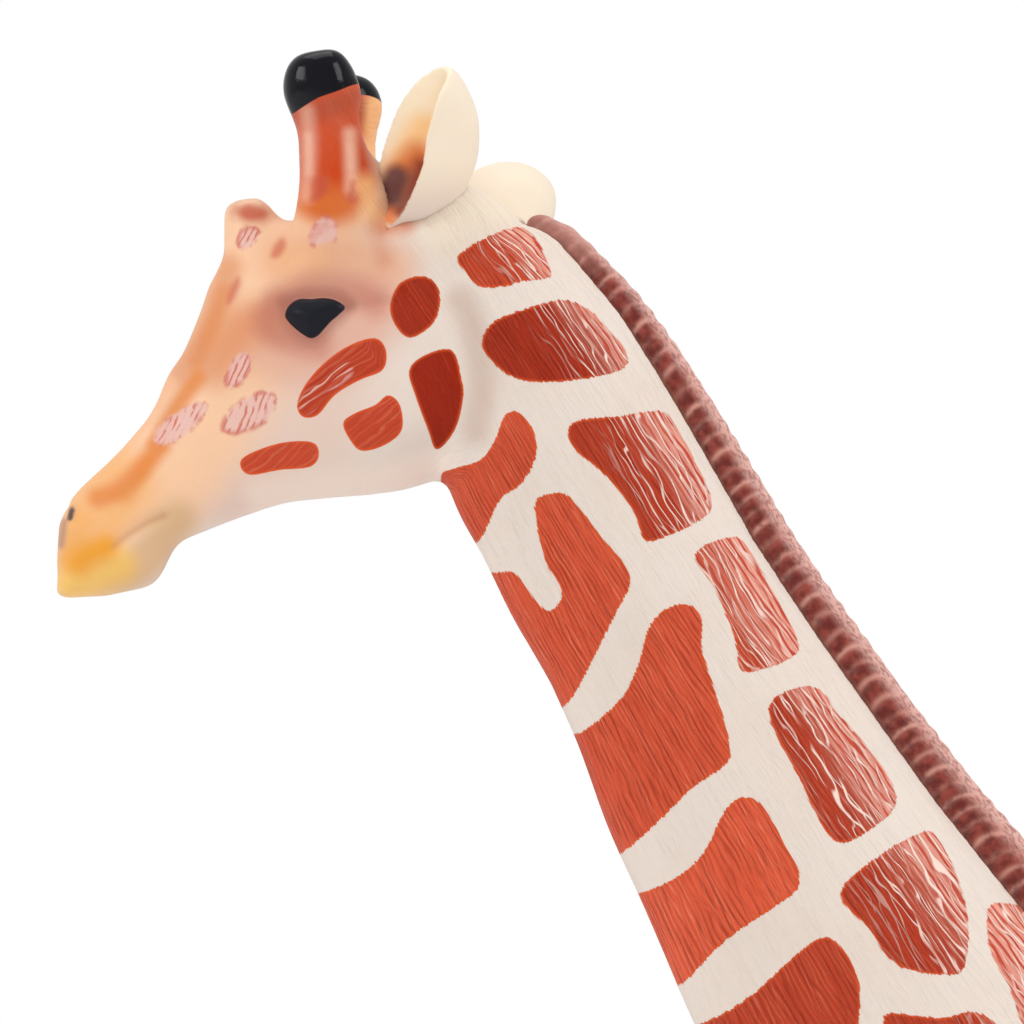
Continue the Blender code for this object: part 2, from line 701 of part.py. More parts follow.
def make_tail(swollen, torso, material):
    """Thin tail with a thick tuft, pegged into the rump."""
    root = torso_point(*TAIL_ROOT_SHARES)
    rows = smooth_rows(TAIL_SECTION_SHARES, 2)
    places = [root + Vector((out * TAIL_STAND_OFF, 0, -down * TAIL_LENGTH)) for down, out, _ in rows]
    rings = []
    for index, (place, row) in enumerate(zip(places, rows)):
        before = places[max(index - 1, 0)]
        after = places[min(index + 1, len(places) - 1)]
        back = ACROSS.cross((after - before).normalized())
        radius = row[2] * TAIL_RADIUS
        ring = []
        for side in range(TAIL_SIDES):
            angle = 2 * math.pi * side / TAIL_SIDES
            ring.append(place + ACROSS * (radius * math.cos(angle)) + back * (radius * math.sin(angle)))
        rings.append(ring)
    bm = bmesh.new()
    add_loft(bm, rings)
    tail = new_object("tail", bm, material)
    boolean(tail, swollen)
    top = places[0]
    inner = top - Vector((SMALL_PLUG_DEPTH, 0, 0))
    outer = top + Vector((SMALL_PLUG_DEPTH * 2, 0, 0))
    boolean(tail, round_plug("tail_peg", inner, outer, SMALL_PLUG_RADIUS), "UNION")
    deeper = inner - Vector((SEAM_GAP, 0, 0))
    boolean(torso, round_plug("tail_socket", deeper, outer, SMALL_PLUG_RADIUS + SEAM_GAP))


def centre_on_floor(root):
    """Put the middle of the figure's box over the origin."""
    graph = bpy.context.evaluated_depsgraph_get()
    low = Vector((REACH, REACH, REACH))
    high = -low
    for piece in bpy.data.objects:
        if piece.type != "MESH" or piece.hide_render:
            continue
        for corner in piece.evaluated_get(graph).bound_box:
            low = Vector([min(a, b) for a, b in zip(low, corner)])
            high = Vector([max(a, b) for a, b in zip(high, corner)])
    root.location = (-(low.x + high.x) / 2, -(low.y + high.y) / 2, -low.z)


def main():
    """Build the figure in an emptied scene."""
    for piece in list(bpy.data.objects):
        bpy.data.objects.remove(piece, do_unlink=True)
    ivory = plastic("ivory_plastic", IVORY)
    brown = plastic("mane_brown_plastic", TUFT_BROWN)
    mesh = make_skin()
    swollen = swollen_skin(mesh)
    head = link_object("neck_and_head", mesh.copy(), ivory)
    boolean(head, neck_half_space("neck_region", SEAM_GAP / 2), "INTERSECT")
    torso = link_object("torso", mesh.copy(), ivory)
    boolean(torso, neck_half_space("neck_removed", -SEAM_GAP / 2))
    legs_low = (-REACH, -REACH, -REACH)
    legs_high = (REACH, REACH, BELLY_HEIGHT - LEG_SEAM_DROP + SEAM_GAP / 2)
    boolean(torso, box_guide("legs_removed", legs_low, legs_high))
    frame = (neck_point(NECK_SEAM_SHARE, 0), -NECK_AIM, NECK_BACK)
    size = (NECK_PLUG_SHARES[0] * NECK_LENGTH, NECK_PLUG_SHARES[1] * NECK_WIDTH, NECK_PLUG_HEIGHT)
    boolean(head, keyed_plug("neck_plug", frame, size), "UNION")
    boolean(torso, keyed_plug("neck_socket", frame, size, SEAM_GAP))
    for leg in LEGS:
        make_leg(mesh, leg, torso, ivory)
    make_mane(mesh, head, brown)
    make_ear("left_ear", -1, LEFT_EAR_AIM, LEFT_EAR_FACE, swollen, head, ivory)
    make_ear("right_ear", 1, RIGHT_EAR_AIM, RIGHT_EAR_FACE, swollen, head, ivory)
    make_tail(swollen, torso, ivory)
    root = bpy.data.objects.new("giraffe", None)
    bpy.context.scene.collection.objects.link(root)
    centre_on_floor(root)
    for piece in list(bpy.data.objects):
        if piece.type == "MESH":
            piece.parent = root


main()
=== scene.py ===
"""Moulded toy giraffe with hair relief, an airbrushed face, stamped patches and a tufted mane.

Every piece is a fine copy of its solid, carved and painted point by point, so it sits where the solid
does. Paint that the photograph shows is placed by its outlines there and mirrored to the far side. The
coat of the parts below the photograph is made of cells of the same size and spacing.
"""

import math

import bmesh
import bpy
import numpy as np
from mathutils import Matrix, Vector
from mathutils.bvhtree import BVHTree

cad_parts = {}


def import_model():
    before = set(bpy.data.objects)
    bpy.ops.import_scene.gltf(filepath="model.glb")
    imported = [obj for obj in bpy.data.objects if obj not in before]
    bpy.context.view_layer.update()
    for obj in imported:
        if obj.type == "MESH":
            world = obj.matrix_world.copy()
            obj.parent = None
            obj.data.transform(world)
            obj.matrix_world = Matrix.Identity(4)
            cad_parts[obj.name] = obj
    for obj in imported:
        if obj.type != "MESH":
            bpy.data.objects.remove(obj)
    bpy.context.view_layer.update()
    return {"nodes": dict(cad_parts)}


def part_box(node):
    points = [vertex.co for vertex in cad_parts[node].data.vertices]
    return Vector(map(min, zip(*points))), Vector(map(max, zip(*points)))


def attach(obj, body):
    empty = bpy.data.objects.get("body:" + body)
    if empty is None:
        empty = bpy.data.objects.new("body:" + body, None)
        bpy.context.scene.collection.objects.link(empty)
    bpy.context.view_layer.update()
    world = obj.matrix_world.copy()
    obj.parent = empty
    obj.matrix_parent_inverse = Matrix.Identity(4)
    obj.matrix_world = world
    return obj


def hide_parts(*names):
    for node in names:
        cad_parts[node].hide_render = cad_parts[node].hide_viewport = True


# Lengths are in metres. The animal looks along -X and its left side is -Y.
LEGS = ("front_left_leg", "front_right_leg", "rear_left_leg", "rear_right_leg")

# Camera
FRAME_PIXELS = 1024
SENSOR = 0.036
LENS = 0.3125
CAMERA_TARGET = Vector((-0.033316, 0.0, 0.152799))
CAMERA_DISTANCE = 0.52
CAMERA_AZIMUTH = math.radians(12)
CAMERA_ELEVATION = math.radians(-7.5)
CAMERA_CLIP = (0.01, 20)
# Width of the photograph's pixel at the animal
PIXEL = CAMERA_DISTANCE * SENSOR / LENS / FRAME_PIXELS

# Axes of the neck and of the head in the mirror plane, as in the solids
NECK_BASE = np.array((0.00515, 0.0, 0.09800))
NECK_LEAN = math.radians(31.6)
NECK_AIM = np.array((-math.sin(NECK_LEAN), 0.0, math.cos(NECK_LEAN)))
NECK_BACK = np.array((math.cos(NECK_LEAN), 0.0, math.sin(NECK_LEAN)))
NECK_SEAM = 0.00534
POLL = np.array((-0.03483, 0.0, 0.16718))
HEAD_LENGTH = 0.0307
HEAD_PITCH = math.radians(32.5)
HEAD_AIM = np.array((-math.cos(HEAD_PITCH), 0.0, -math.sin(HEAD_PITCH)))
HEAD_UP = np.array((-math.sin(HEAD_PITCH), 0.0, math.cos(HEAD_PITCH)))
HOOF_HEIGHT = 0.0056
HOOF_EDGE = (-0.0003, 0.0005)
HOOF_FUR_BLEND = 0.001
# Blend from the near side to the far one, across the mirror plane
MIDDLE_BLEND = (-0.001, 0.001)
FAR_BLEND = (0.001, 0.002)

# Flat seams between the mouldings
LEG_SEAM_HEIGHT = 0.0667
NECK_SEAM_BAND = 0.03
SEAM_REACH = 0.0002
SEAM_REST = 0.00002
SEAM_CALM = 0.0008
FAR_AWAY = 1.0

# Grain of each mesh, rounds of smoothing, and how far it is plumped
HEAD_MESH = (0.00018, 16)
BODY_MESH = (0.00034, 40)
LEG_MESH = (0.00024, 16)
EAR_MESH = (0.00008, 30, 0.00014)
MANE_MESH = (0.00012, 50, 0.00016)
TAIL_MESH = (0.00018, 8)
MESH_SMOOTHING = 0.6
WELD_REACH = 0.000001

# Outlines in the photograph's pixels, and the steps of the curve between two of their points
CURVE_STEPS = 4
EYE = ((283, 314), (288, 304), (298, 298), (311, 298), (322, 297), (334, 299), (344, 306), (337, 315),
       (330, 321), (322, 330), (316, 336), (309, 338), (301, 334), (293, 328), (286, 321))
NEAR_CAP = ((270, 112), (289, 115), (303, 107), (318, 98), (335, 92), (350, 86), (364, 80), (372, 55),
            (340, 35), (300, 35), (270, 60))
MOUTH = ((164, 516), (150, 522), (130, 534), (114, 547))
NASAL_CREASE = ((228, 280), (214, 318), (198, 350), (180, 385), (154, 428))
NOSTRIL = ((72, 510), (70, 518))
EYE_CREASE = ((344, 306), (362, 304), (394, 303))
JAW_FOLD = ((446, 262), (462, 300), (474, 340), (482, 385), (476, 425))
BROW = ((262, 300), (285, 284), (320, 279), (355, 283), (384, 292))
FACE_PATCHES = (
    ((390, 305), (400, 283), (422, 276), (437, 285), (440, 305), (432, 325), (410, 338), (395, 325)),
    ((297, 405), (305, 385), (325, 362), (350, 345), (375, 338), (386, 350), (383, 370), (360, 380),
     (335, 395), (318, 415), (303, 417)),
    ((343, 423), (355, 413), (375, 405), (388, 395), (400, 405), (402, 430), (385, 445), (362, 451),
     (350, 440)),
    ((409, 370), (425, 355), (452, 350), (462, 380), (463, 400), (455, 430), (437, 450), (428, 430),
     (415, 395)),
    ((240, 465), (247, 455), (280, 443), (312, 442), (319, 455), (310, 467), (280, 470), (250, 475)),
)
SPOTS = (
    ((226, 384), (229, 366), (240, 352), (251, 356), (250, 370), (240, 384), (231, 388)),
    ((222, 428), (230, 410), (250, 396), (270, 392), (276, 402), (268, 420), (250, 430), (232, 434)),
    ((152, 440), (160, 424), (182, 408), (203, 402), (207, 410), (192, 430), (168, 445)),
    ((308, 240), (314, 224), (326, 216), (336, 224), (337, 238), (326, 244), (314, 246)),
    ((238, 246), (240, 232), (252, 226), (260, 232), (254, 244), (244, 250)),
)
RED_SPOTS = (
    ((270, 256), (274, 244), (282, 237), (287, 243), (283, 254), (276, 259)),
    ((311, 200), (311, 182), (320, 174), (328, 182), (326, 194), (316, 202)),
    ((347, 202), (348, 192), (354, 180), (357, 190), (359, 202), (352, 205)),
    ((226, 302), (230, 286), (238, 276), (241, 284), (236, 296), (230, 304)),
    ((239, 212), (248, 203), (262, 207), (268, 215), (256, 221), (244, 220)),
)
FACE_TONES = (0.10, 0.35, 0.48, 0.0, 0.56)
# Line in a face patch along which glints are painted
GLINT_PATCH_LINE = ((306, 405), (322, 388), (344, 370))
NECK_PATCHES = (
    ((457, 258), (475, 243), (500, 232), (520, 227), (535, 237), (548, 262), (550, 277), (525, 281),
     (500, 287), (478, 286), (465, 272)),
    ((482, 345), (490, 325), (515, 312), (560, 300), (585, 307), (605, 325), (625, 350), (627, 365),
     (610, 374), (560, 382), (520, 380), (495, 365)),
    ((505, 415), (520, 413), (535, 435), (535, 460), (520, 485), (500, 500), (480, 540), (462, 542),
     (446, 505), (441, 476), (452, 469), (480, 460), (495, 440)),
    ((568, 430), (580, 420), (620, 416), (660, 411), (675, 425), (700, 470), (712, 505), (700, 520),
     (670, 535), (645, 541), (635, 515), (610, 480), (575, 450)),
    ((535, 505), (550, 494), (570, 497), (600, 535), (625, 565), (630, 585), (615, 615), (590, 665),
     (568, 703), (545, 712), (515, 680), (485, 630), (472, 575), (497, 573), (515, 573), (535, 600),
     (550, 611), (562, 592), (545, 560)),
    ((695, 560), (705, 545), (735, 537), (750, 550), (775, 595), (797, 640), (795, 655), (770, 667),
     (742, 671), (735, 640), (715, 590)),
    ((560, 735), (580, 733), (620, 700), (638, 665), (650, 625), (670, 607), (690, 605), (702, 620),
     (702, 650), (715, 690), (730, 745), (725, 765), (690, 790), (660, 820), (622, 853), (600, 860),
     (580, 810)),
    ((768, 708), (812, 686), (840, 715), (870, 750), (895, 790), (893, 810), (870, 830), (843, 843),
     (825, 830), (800, 780)),
    ((615, 893), (640, 893), (680, 875), (705, 850), (725, 810), (745, 797), (765, 808), (785, 845),
     (798, 870), (797, 890), (770, 910), (720, 945), (683, 983), (655, 985), (630, 940)),
    ((840, 893), (880, 855), (920, 833), (935, 835), (955, 870), (968, 920), (965, 965), (950, 975),
     (910, 970), (885, 955), (870, 930)),
    ((670, 1030), (700, 1024), (745, 1000), (790, 960), (820, 938), (840, 945), (857, 975), (860, 1010),
     (850, 1050), (800, 1085), (740, 1110), (695, 1100)),
    ((988, 910), (1005, 903), (1040, 915), (1075, 960), (1085, 1010), (1060, 1045), (1030, 1040),
     (1010, 990), (990, 950)),
    ((883, 1024), (890, 1013), (940, 1018), (975, 1012), (1003, 1035), (1010, 1080), (985, 1120),
     (930, 1130), (895, 1100), (880, 1060)),
)

# Tone of each neck patch from deep red-brown (0) to coral (1); the coral of the patches low on the front
# is partly painted sheen where the light falls on them
NECK_TONES = (0.45, 0.10, 0.70, 0.25, 0.80, 0.45, 0.75, 0.25, 0.90, 0.25, 0.40, 0.40, 0.30)

# Relief of the head along lines: the line, its height and its width
SIDE_RELIEF = ((BROW, 0.00016, 0.0009), (EYE_CREASE, -0.00014, 0.00028))
HEAD_RELIEF = (
    (MOUTH, -0.00011, 0.00022),
    (NASAL_CREASE, -0.00014, 0.0005),
    (NOSTRIL, -0.00022, 0.00035),
)
FOLD_RELIEF = ((JAW_FOLD, -0.00024, 0.0011),)
LIP_OUT = 0.0007
LIP_HEIGHT = 0.00008
LIP_WIDTH = 0.0004
SOCKET_DEPTH = 0.00036
SOCKET_START = (-0.0026, -0.0002)
SOCKET_END = (-0.0002, 0.0002)
LID_HEIGHT = 0.00006
LID_OUT = 0.00030
LID_WIDTH = 0.00020
BALL_HEIGHT = 0.00042
BALL_EDGE = (-0.0001, 0.0011)
HEAD_START_SHARES = (0.04, 0.10)
SIDE_START = (0.0016, 0.0026)
HORN_FOOT = 0.0100
HORN_FOOT_BLEND = 0.002

# Skin drawn up round the ears
COLLAR_REACH = 0.0034
COLLAR_HEIGHT = 0.0016
COLLAR_ROUNDS = 6
PULL_REACH = 0.0008
TOUCH_GAP = 0.00003
TOUCH_SINK = 0.00005

# Ears as in the solids, and how they are bent further
LEFT_EAR_AIM = (0.31, -0.37, 0.87)
LEFT_EAR_FACE = (-0.85, -0.50, 0.00)
RIGHT_EAR_AIM = (0.51, 0.66, 0.56)
RIGHT_EAR_FACE = (-0.80, 0.46, 0.30)
EAR_ROOT_SHARES = (0.172, 0.110)
EAR_ROOT_OUT = 0.00259
EAR_CURL = 0.00048
EAR_CURL_START = (0.0070, 0.0100)
EAR_CURL_END = (0.0114, 0.0127)
EAR_BULGE = 0.00030
EAR_BULGE_START = (0.0020, 0.0050)
EAR_BULGE_END = (0.0095, 0.0120)
EAR_FOOT_LIFT = 0.0012
EAR_FOOT_END = (0.0008, 0.0044)
EAR_FOOT_RIM = (-0.0022, -0.0008)
EAR_RIM = (-0.0028, -0.0010)
EAR_SIDE = (0.0002, 0.0016)
EAR_ROUNDS = 20
EAR_FUR = 0.04
# How far a face of the ear turns to the hollow before its paint is the inner one
INNER_TURN = 0.35
INNER_ROUNDS = 4

# Hair: pitch and seed
NECK_HAIR = (0.0011, 3)
BODY_HAIR = (0.0012, 5)
TAIL_HAIR = (0.0009, 9)
HAIR_DEPTH = 0.00003
HAIR_RATES = (0.6, 1.0, 1.4, 2.1)
# Sways of the hair: size, then their lengths across and along in pitches
HAIR_SWAY = (1.3, 6.1)
HAIR_CURL = (1.1, 1.7, 3.3)
NECK_RADIUS = 0.009
TORSO_RADIUS = 0.014
TORSO_AXIS_HEIGHT = 0.088
LEG_RADIUS = 0.004
TAIL_RADIUS = 0.0022
TUFT_LENGTH = 0.016
TUFT_BLEND = 0.005
TUFT_RELIEF = 4
HAIR_TURN = 0.002
HAIR_TURN_ALONG = 0.0060
HAIR_TURN_BELOW = 0.0085
SMOOTH_TURN = 0.004
SMOOTH_ALONG = 0.0031
SMOOTH_BELOW = 0.0098
SMOOTH_CALM = 0.92
GLOSS_EDGE = 0.0004
LID_SHADE = 0.6
LID_SHADE_REACH = 0.0009
RED_SPOT_SHARE = 0.62
RED_SPOT_EDGE = (-0.0002, 0.0003)

# Painted glints on the patches' pale hairs: where they face up and back toward the light, and along a
# line in a face patch
GLINT_AIM = (0.62, 0.0, 0.78)
GLINT_TURN = (-0.15, 0.80)
GLINT_LINE_SHARE = 0.42
GLINT_LINE_EDGE = (0.0003, 0.0011)
PLAIN_GLINT = 0.8
PLAIN_TONE = 0.6

# Mane
MANE_BINS = 60
MANE_ROOT = 0.00045
MANE_FADE = 0.6
MANE_FADE_EDGE = (0.0745, 0.0790)
MANE_FADE_CALM = 0.8
RIB_PITCH = 0.00108
RIB_WIDTH = 0.00016
RIB_HEIGHT = 0.00010
LOBE_HEIGHT = 0.00022
RIB_SLANT = 0.70
RIB_BEND = 330
RIB_UNEVENNESS = 0.35
RIB_BEAT = 2.4
FLANK_FOOT = 0.10
CREST_CALM = 0.75
CREST_EDGE = (0.65, 0.92)
RIB_SWAYS = ((0.00034, 0.0031, 0.0), (0.00014, 0.00087, 1.0))

# Small pushes of the form: middle, radius and push in the photograph's pixels, and the far side's share
SCULPT = (
    ((234, 208), 16, (-6, -3), 1.0),
    ((262, 206), 20, (0, -7), 1.0),
    ((226, 250), 26, (-5, 0), 1.0),
    ((214, 285), 20, (-3, 0), 1.0),
    ((168, 378), 24, (-4, -3), 1.0),
    ((60, 596), 13, (-9, 5), 1.0),
    ((152, 582), 24, (5, 9), 1.0),
    ((200, 532), 34, (0, 4), 1.0),
    ((246, 514), 36, (0, 4), 1.0),
    ((305, 60), 26, (-3, -4), 0.0),
    ((338, 56), 18, (0, -6), 0.0),
    ((605, 830), 62, (-3, 2), 1.0),
    ((508, 618), 56, (-3, 2), 1.0),
    ((457, 515), 40, (-3, 2), 1.0),
)

# Floor and lights: name, place, power, width and height
FLOOR_REACH = 3.0
FLOOR_FADE = (0.25, 0.80)
WORLD_LIGHT = 0.64
LAMP_TARGET = Vector((-0.02, 0, 0.12))
LAMPS = (
    ("key", (-0.80, -0.70, 0.60), 3.9, 0.5, 0.5),
    ("back", (0.75, -0.25, 0.65), 3.4, 0.35, 0.6),
    ("top", (-0.1, 0.1, 1.0), 2.0, 0.6, 0.6),
)

# Coat outside the photograph
CELL_SPACING = 0.0098
NECK_CELL_SPACING = 0.0090
LEG_CELL_SPACING = 0.0068
NECK_CELLS = (0.004, 0.012)
LEG_CELLS = (0.052, 0.072)
CELL_GAP = 0.0017
CELL_ROUND = 0.0009
CELL_NEIGHBOURS = 6
CELL_CHUNK = 20000
SEED_CLEARANCE = 0.0029
SKIN_LIFT = 0.0002
CAST_REACH = 0.02
COAT_END_HEIGHT = 0.022
COAT_FULL_HEIGHT = 0.050
CELL_THINNING = 0.0030
PAINT_REACH = 0.003
WARP = 0.0006
WARP_LENGTHS = ((0.013, 0.017), (0.015, 0.012), (0.016, 0.011))
# Drift of the far neck's patches in pixels: push, swing and the swing's length, right and down
DRIFTS = ((-26, 12, 70), (-38, 14, 60))
DRIFT_START = (0.0005, 0.006)
DRIFT_END = (0.055, 0.068)
TINY = 1e-30
SEED = 7
MILLIMETRES = 1000

# Lines in the paint: pitch in millimetres, sway and width in pitches, and slant
GROOVE_LINES = (0.47, 2.4, 0.10)
HAIR_LINES = (0.36, 2.8, 0.09)
VEIN_LINES = (0.74, 4.0, 0.055)
FINE_VEIN_LINES = (0.55, 4.4, 0.05)
SPOT_LINES = (0.46, 2.2, 0.10, -0.64)
# Edge of a stamped area in millimetres of depth, and heights of the painted relief
STAMP_EDGE = (-0.03, 0.04)
HAIR_BUMP = 0.00020
GRAIN_BUMP = 0.00002
MANE_BUMP = 0.00008
GLOW_DEPTH = 0.0010


def srgb(red, green, blue):
    """Linear colour of an 8-bit one."""
    values = [value / 255 for value in (red, green, blue)]
    return tuple(v / 12.92 if v <= 0.04045 else ((v + 0.055) / 1.055) ** 2.4 for v in values)


IVORY = srgb(228, 214, 203)
PEACH = srgb(246, 200, 162)
TAN = srgb(230, 170, 134)
PINK = srgb(220, 164, 142)
CHEEK_PINK = srgb(230, 200, 184)
ORANGE = srgb(228, 132, 52)
RIDGE_PEACH = srgb(247, 188, 146)
NOSE_ORANGE = srgb(220, 138, 88)
PINK_BROWN = srgb(198, 126, 106)
LID_SHADOW_BROWN = srgb(170, 104, 88)
MUZZLE_PEACH = srgb(243, 182, 120)
YELLOW = srgb(242, 160, 0)
CHIN_YELLOW = srgb(248, 198, 98)
LIP_BEIGE = srgb(221, 182, 138)
LIP_SHADE = srgb(204, 150, 96)
MUZZLE_SHADE = srgb(150, 112, 112)
HORN_ORANGE = srgb(205, 68, 12)
HORN_HIGHLIGHT = srgb(248, 198, 172)
HORN_BROWN = srgb(166, 60, 30)
HORN_FOOT_PEACH = srgb(254, 194, 134)
BUMP_RED = srgb(196, 100, 70)
FOLD_SHADE = srgb(200, 174, 158)
SPOT_RED = srgb(200, 76, 56)
SPOT_LILAC = srgb(230, 186, 178)
NOSTRIL_BLACK = srgb(52, 44, 56)
EAR_CREAM = srgb(243, 228, 206)
JAW_IVORY = srgb(243, 224, 210)
EAR_INSIDE = srgb(252, 234, 204)
EAR_GOLD = srgb(255, 208, 146)
EAR_ORANGE = srgb(222, 118, 56)
EAR_RED = srgb(148, 54, 30)
EAR_BROWN = srgb(112, 66, 62)
HOOF_GREY = srgb(84, 70, 64)
TUFT_BROWN = srgb(84, 42, 34)
PATCH_DEEP = srgb(154, 36, 12)
PATCH_CORAL = srgb(226, 92, 60)
PATCH_LINE = srgb(130, 26, 8)
PATCH_RED = srgb(194, 50, 24)
PATCH_RIM = srgb(222, 88, 34)
PATCH_SHEEN = srgb(244, 144, 112)
PATCH_GLARE = srgb(246, 180, 160)
GLINT_PALE = srgb(250, 216, 202)
GROOVE_BEIGE = srgb(214, 184, 160)
EYE_BLACK = srgb(22, 23, 32)
CAP_BLACK = srgb(10, 11, 18)
MANE_DARK = srgb(106, 34, 26)
MANE_MID = srgb(148, 64, 52)
MANE_RIB = srgb(212, 152, 136)
MANE_CREST_HIGHLIGHT = srgb(226, 176, 164)
MANE_TIP = srgb(198, 142, 128)
FLOOR_GREY = srgb(238, 238, 238)
FLOOR_WHITE = srgb(241, 241, 241)

# Colour, strength, radius in pixels and softness, then the stroke's points in the photograph's pixels
STROKES = (
    (CHEEK_PINK, 0.85, 125, 0.7, ((300, 300), (290, 380), (235, 450))),
    (PEACH, 0.95, 105, 0.6, ((300, 205), (250, 260), (225, 330), (190, 400), (130, 470))),
    (PEACH, 0.80, 60, 0.9, ((200, 440), (180, 480))),
    (TAN, 0.85, 55, 0.95, ((290, 262), (340, 258), (386, 268))),
    (MUZZLE_PEACH, 0.35, 30, 1.0, ((286, 262), (312, 260))),
    (PINK, 0.80, 60, 0.95, ((268, 345), (305, 352), (340, 340), (372, 312))),
    (NOSE_ORANGE, 0.80, 40, 0.95, ((268, 318), (245, 325), (228, 345), (214, 366))),
    (ORANGE, 0.60, 14, 0.9, ((224, 292), (212, 325), (196, 360))),
    (NOSE_ORANGE, 0.66, 26, 0.9, ((228, 268), (214, 310), (198, 345), (180, 372))),
    (RIDGE_PEACH, 0.90, 16, 0.9, ((166, 384), (140, 424), (105, 462))),
    (MUZZLE_PEACH, 1.0, 62, 0.75, ((115, 488), (92, 525), (85, 560))),
    (ORANGE, 0.90, 15, 0.9, ((198, 378), (176, 408), (156, 444))),
    (ORANGE, 0.95, 18, 0.9, ((160, 446), (138, 472), (118, 490), (98, 498))),
    (ORANGE, 0.45, 16, 1.0, ((140, 474), (126, 496))),
    (LIP_BEIGE, 0.90, 34, 0.8, ((176, 520), (150, 556), (120, 582))),
    (CHIN_YELLOW, 0.95, 32, 0.9, ((118, 566), (92, 580), (72, 586))),
    (YELLOW, 1.0, 24, 0.95, ((104, 548), (90, 554), (80, 562))),
    (YELLOW, 0.40, 20, 0.95, ((80, 520), (70, 560))),
    (HORN_ORANGE, 1.0, 56, 0.40, ((325, 90), (324, 140), (330, 178))),
    (ORANGE, 0.50, 34, 0.9, ((310, 202), (345, 208))),
    (HORN_BROWN, 0.60, 22, 0.95, ((292, 118), (322, 108), (358, 96))),
    # Painted highlights down both sides of the near horn
    (HORN_HIGHLIGHT, 0.46, 15, 1.0, ((307, 112), (309, 150), (306, 196))),
    (HORN_HIGHLIGHT, 0.45, 8, 1.0, ((308, 136), (309, 172))),
    (HORN_HIGHLIGHT, 0.72, 13, 1.0, ((350, 134), (352, 188))),
    (HORN_HIGHLIGHT, 0.40, 7, 1.0, ((350, 146), (351, 166))),
    (PINK_BROWN, 0.75, 30, 0.95, ((285, 300), (318, 286), (352, 290), (374, 300))),
    (PINK_BROWN, 0.75, 28, 0.95, ((276, 306), (268, 324), (292, 338), (318, 345))),
    # Painted shadow under the upper lid
    (LID_SHADOW_BROWN, 0.60, 12, 0.9, ((284, 302), (305, 294), (335, 294), (350, 304))),
    (BUMP_RED, 0.45, 7, 1.0, ((326, 180), (322, 192), (312, 199))),
    (BUMP_RED, 0.50, 5, 1.0, ((352, 182), (350, 197))),
    (BUMP_RED, 0.60, 15, 1.0, ((238, 212), (262, 216))),
    (FOLD_SHADE, 0.65, 26, 0.95, ((460, 300), (472, 322), (482, 380), (476, 430))),
    (EAR_ORANGE, 0.75, 20, 0.95, ((384, 224), (404, 222))),
    # Painted shade in the crease at the ear's foot
    (PINK_BROWN, 0.45, 16, 0.95, ((410, 222), (432, 206))),
    (HORN_FOOT_PEACH, 0.85, 22, 1.0, ((366, 186), (374, 214))),
    (BUMP_RED, 0.30, 18, 1.0, ((374, 226), (384, 258))),
    (JAW_IVORY, 0.85, 30, 1.0, ((262, 496), (320, 488), (380, 482), (440, 466))),
    # Painted highlight on the crown and the top of the nape, which face the light
    (EAR_CREAM, 0.80, 42, 0.9, ((446, 232), (480, 212), (545, 196))),
    (LIP_SHADE, 0.40, 6, 1.0, MOUTH),
    (MUZZLE_SHADE, 0.60, 7, 1.0, ((64, 522), (61, 545))),
    (NOSTRIL_BLACK, 1.0, 4.5, 0.7, NOSTRIL),
)
# Painted highlight on the far horn's face that turns to the front, laid on the far side only
FAR_HORN_HIGHLIGHT_STROKES = (
    (HORN_FOOT_PEACH, 0.90, 24, 0.8, ((376, 108), (376, 196))),
)
EAR_STROKES = (
    (EAR_GOLD, 0.95, 25, 0.95, ((402, 168), (414, 148), (426, 128))),
    (EAR_ORANGE, 0.95, 25, 0.95, ((386, 226), (392, 206), (404, 176), (420, 156))),
    (EAR_RED, 0.95, 16, 0.95, ((400, 212), (414, 192), (424, 166))),
    (EAR_BROWN, 1.0, 20, 0.75, ((393, 196), (401, 178))),
)
EAR_FOOT_STROKE = (IVORY, 1.0, 60, 0.95, ((380, 240), (450, 225)))


def camera_frame():
    """Place, right, up and forward of the photograph's camera."""
    a, e = CAMERA_AZIMUTH, CAMERA_ELEVATION
    forward = Vector((-math.sin(a) * math.cos(e), math.cos(a) * math.cos(e), -math.sin(e)))
    right = forward.cross(Vector((0, 0, 1))).normalized()
    up = right.cross(forward)
    return CAMERA_TARGET - forward * CAMERA_DISTANCE, right, up, forward


def project(points):
    """Pixels of the photograph at which points show."""
    place, right, up, forward = (np.array(v) for v in camera_frame())
    away = points - place
    depth = away @ forward
    scale = LENS / SENSOR * FRAME_PIXELS / depth
    middle = FRAME_PIXELS / 2
    return np.stack((middle + away @ right * scale, middle - away @ up * scale), axis=1)


def near_pixels(points):
    """Pixels at which points show once they are mirrored to the near side."""
    return project(points * np.array((1, 0, 1)) - np.array((0, 1, 0)) * np.abs(points[:, 1:2]))


def smoothstep(low, high, values):
    """Smooth rise from 0 to 1 between two values."""
    share = np.clip((values - low) / (high - low), 0, 1)
    return share * share * (3 - 2 * share)


def band(start, end, values):
    """Smooth rise over one span and fall over another."""
    return smoothstep(*start, values) * (1 - smoothstep(*end, values))


def curve(points, closed=True):
    """Smooth curve through an outline's points."""
    points = np.asarray(points, dtype=float)
    count = len(points)
    result = []
    for index in range(count if closed else count - 1):
        around = index + np.arange(-1, 3)
        around = around % count if closed else np.clip(around, 0, count - 1)
        a, b, c, d = points[around]
        for t in np.arange(CURVE_STEPS) / CURVE_STEPS:
            result.append(b + (c - a) / 2 * t + (a - 2.5 * b + 2 * c - d / 2) * t ** 2
                          + (1.5 * b - a / 2 - 1.5 * c + d / 2) * t ** 3)
    if not closed:
        result.append(points[-1])
    return np.array(result)


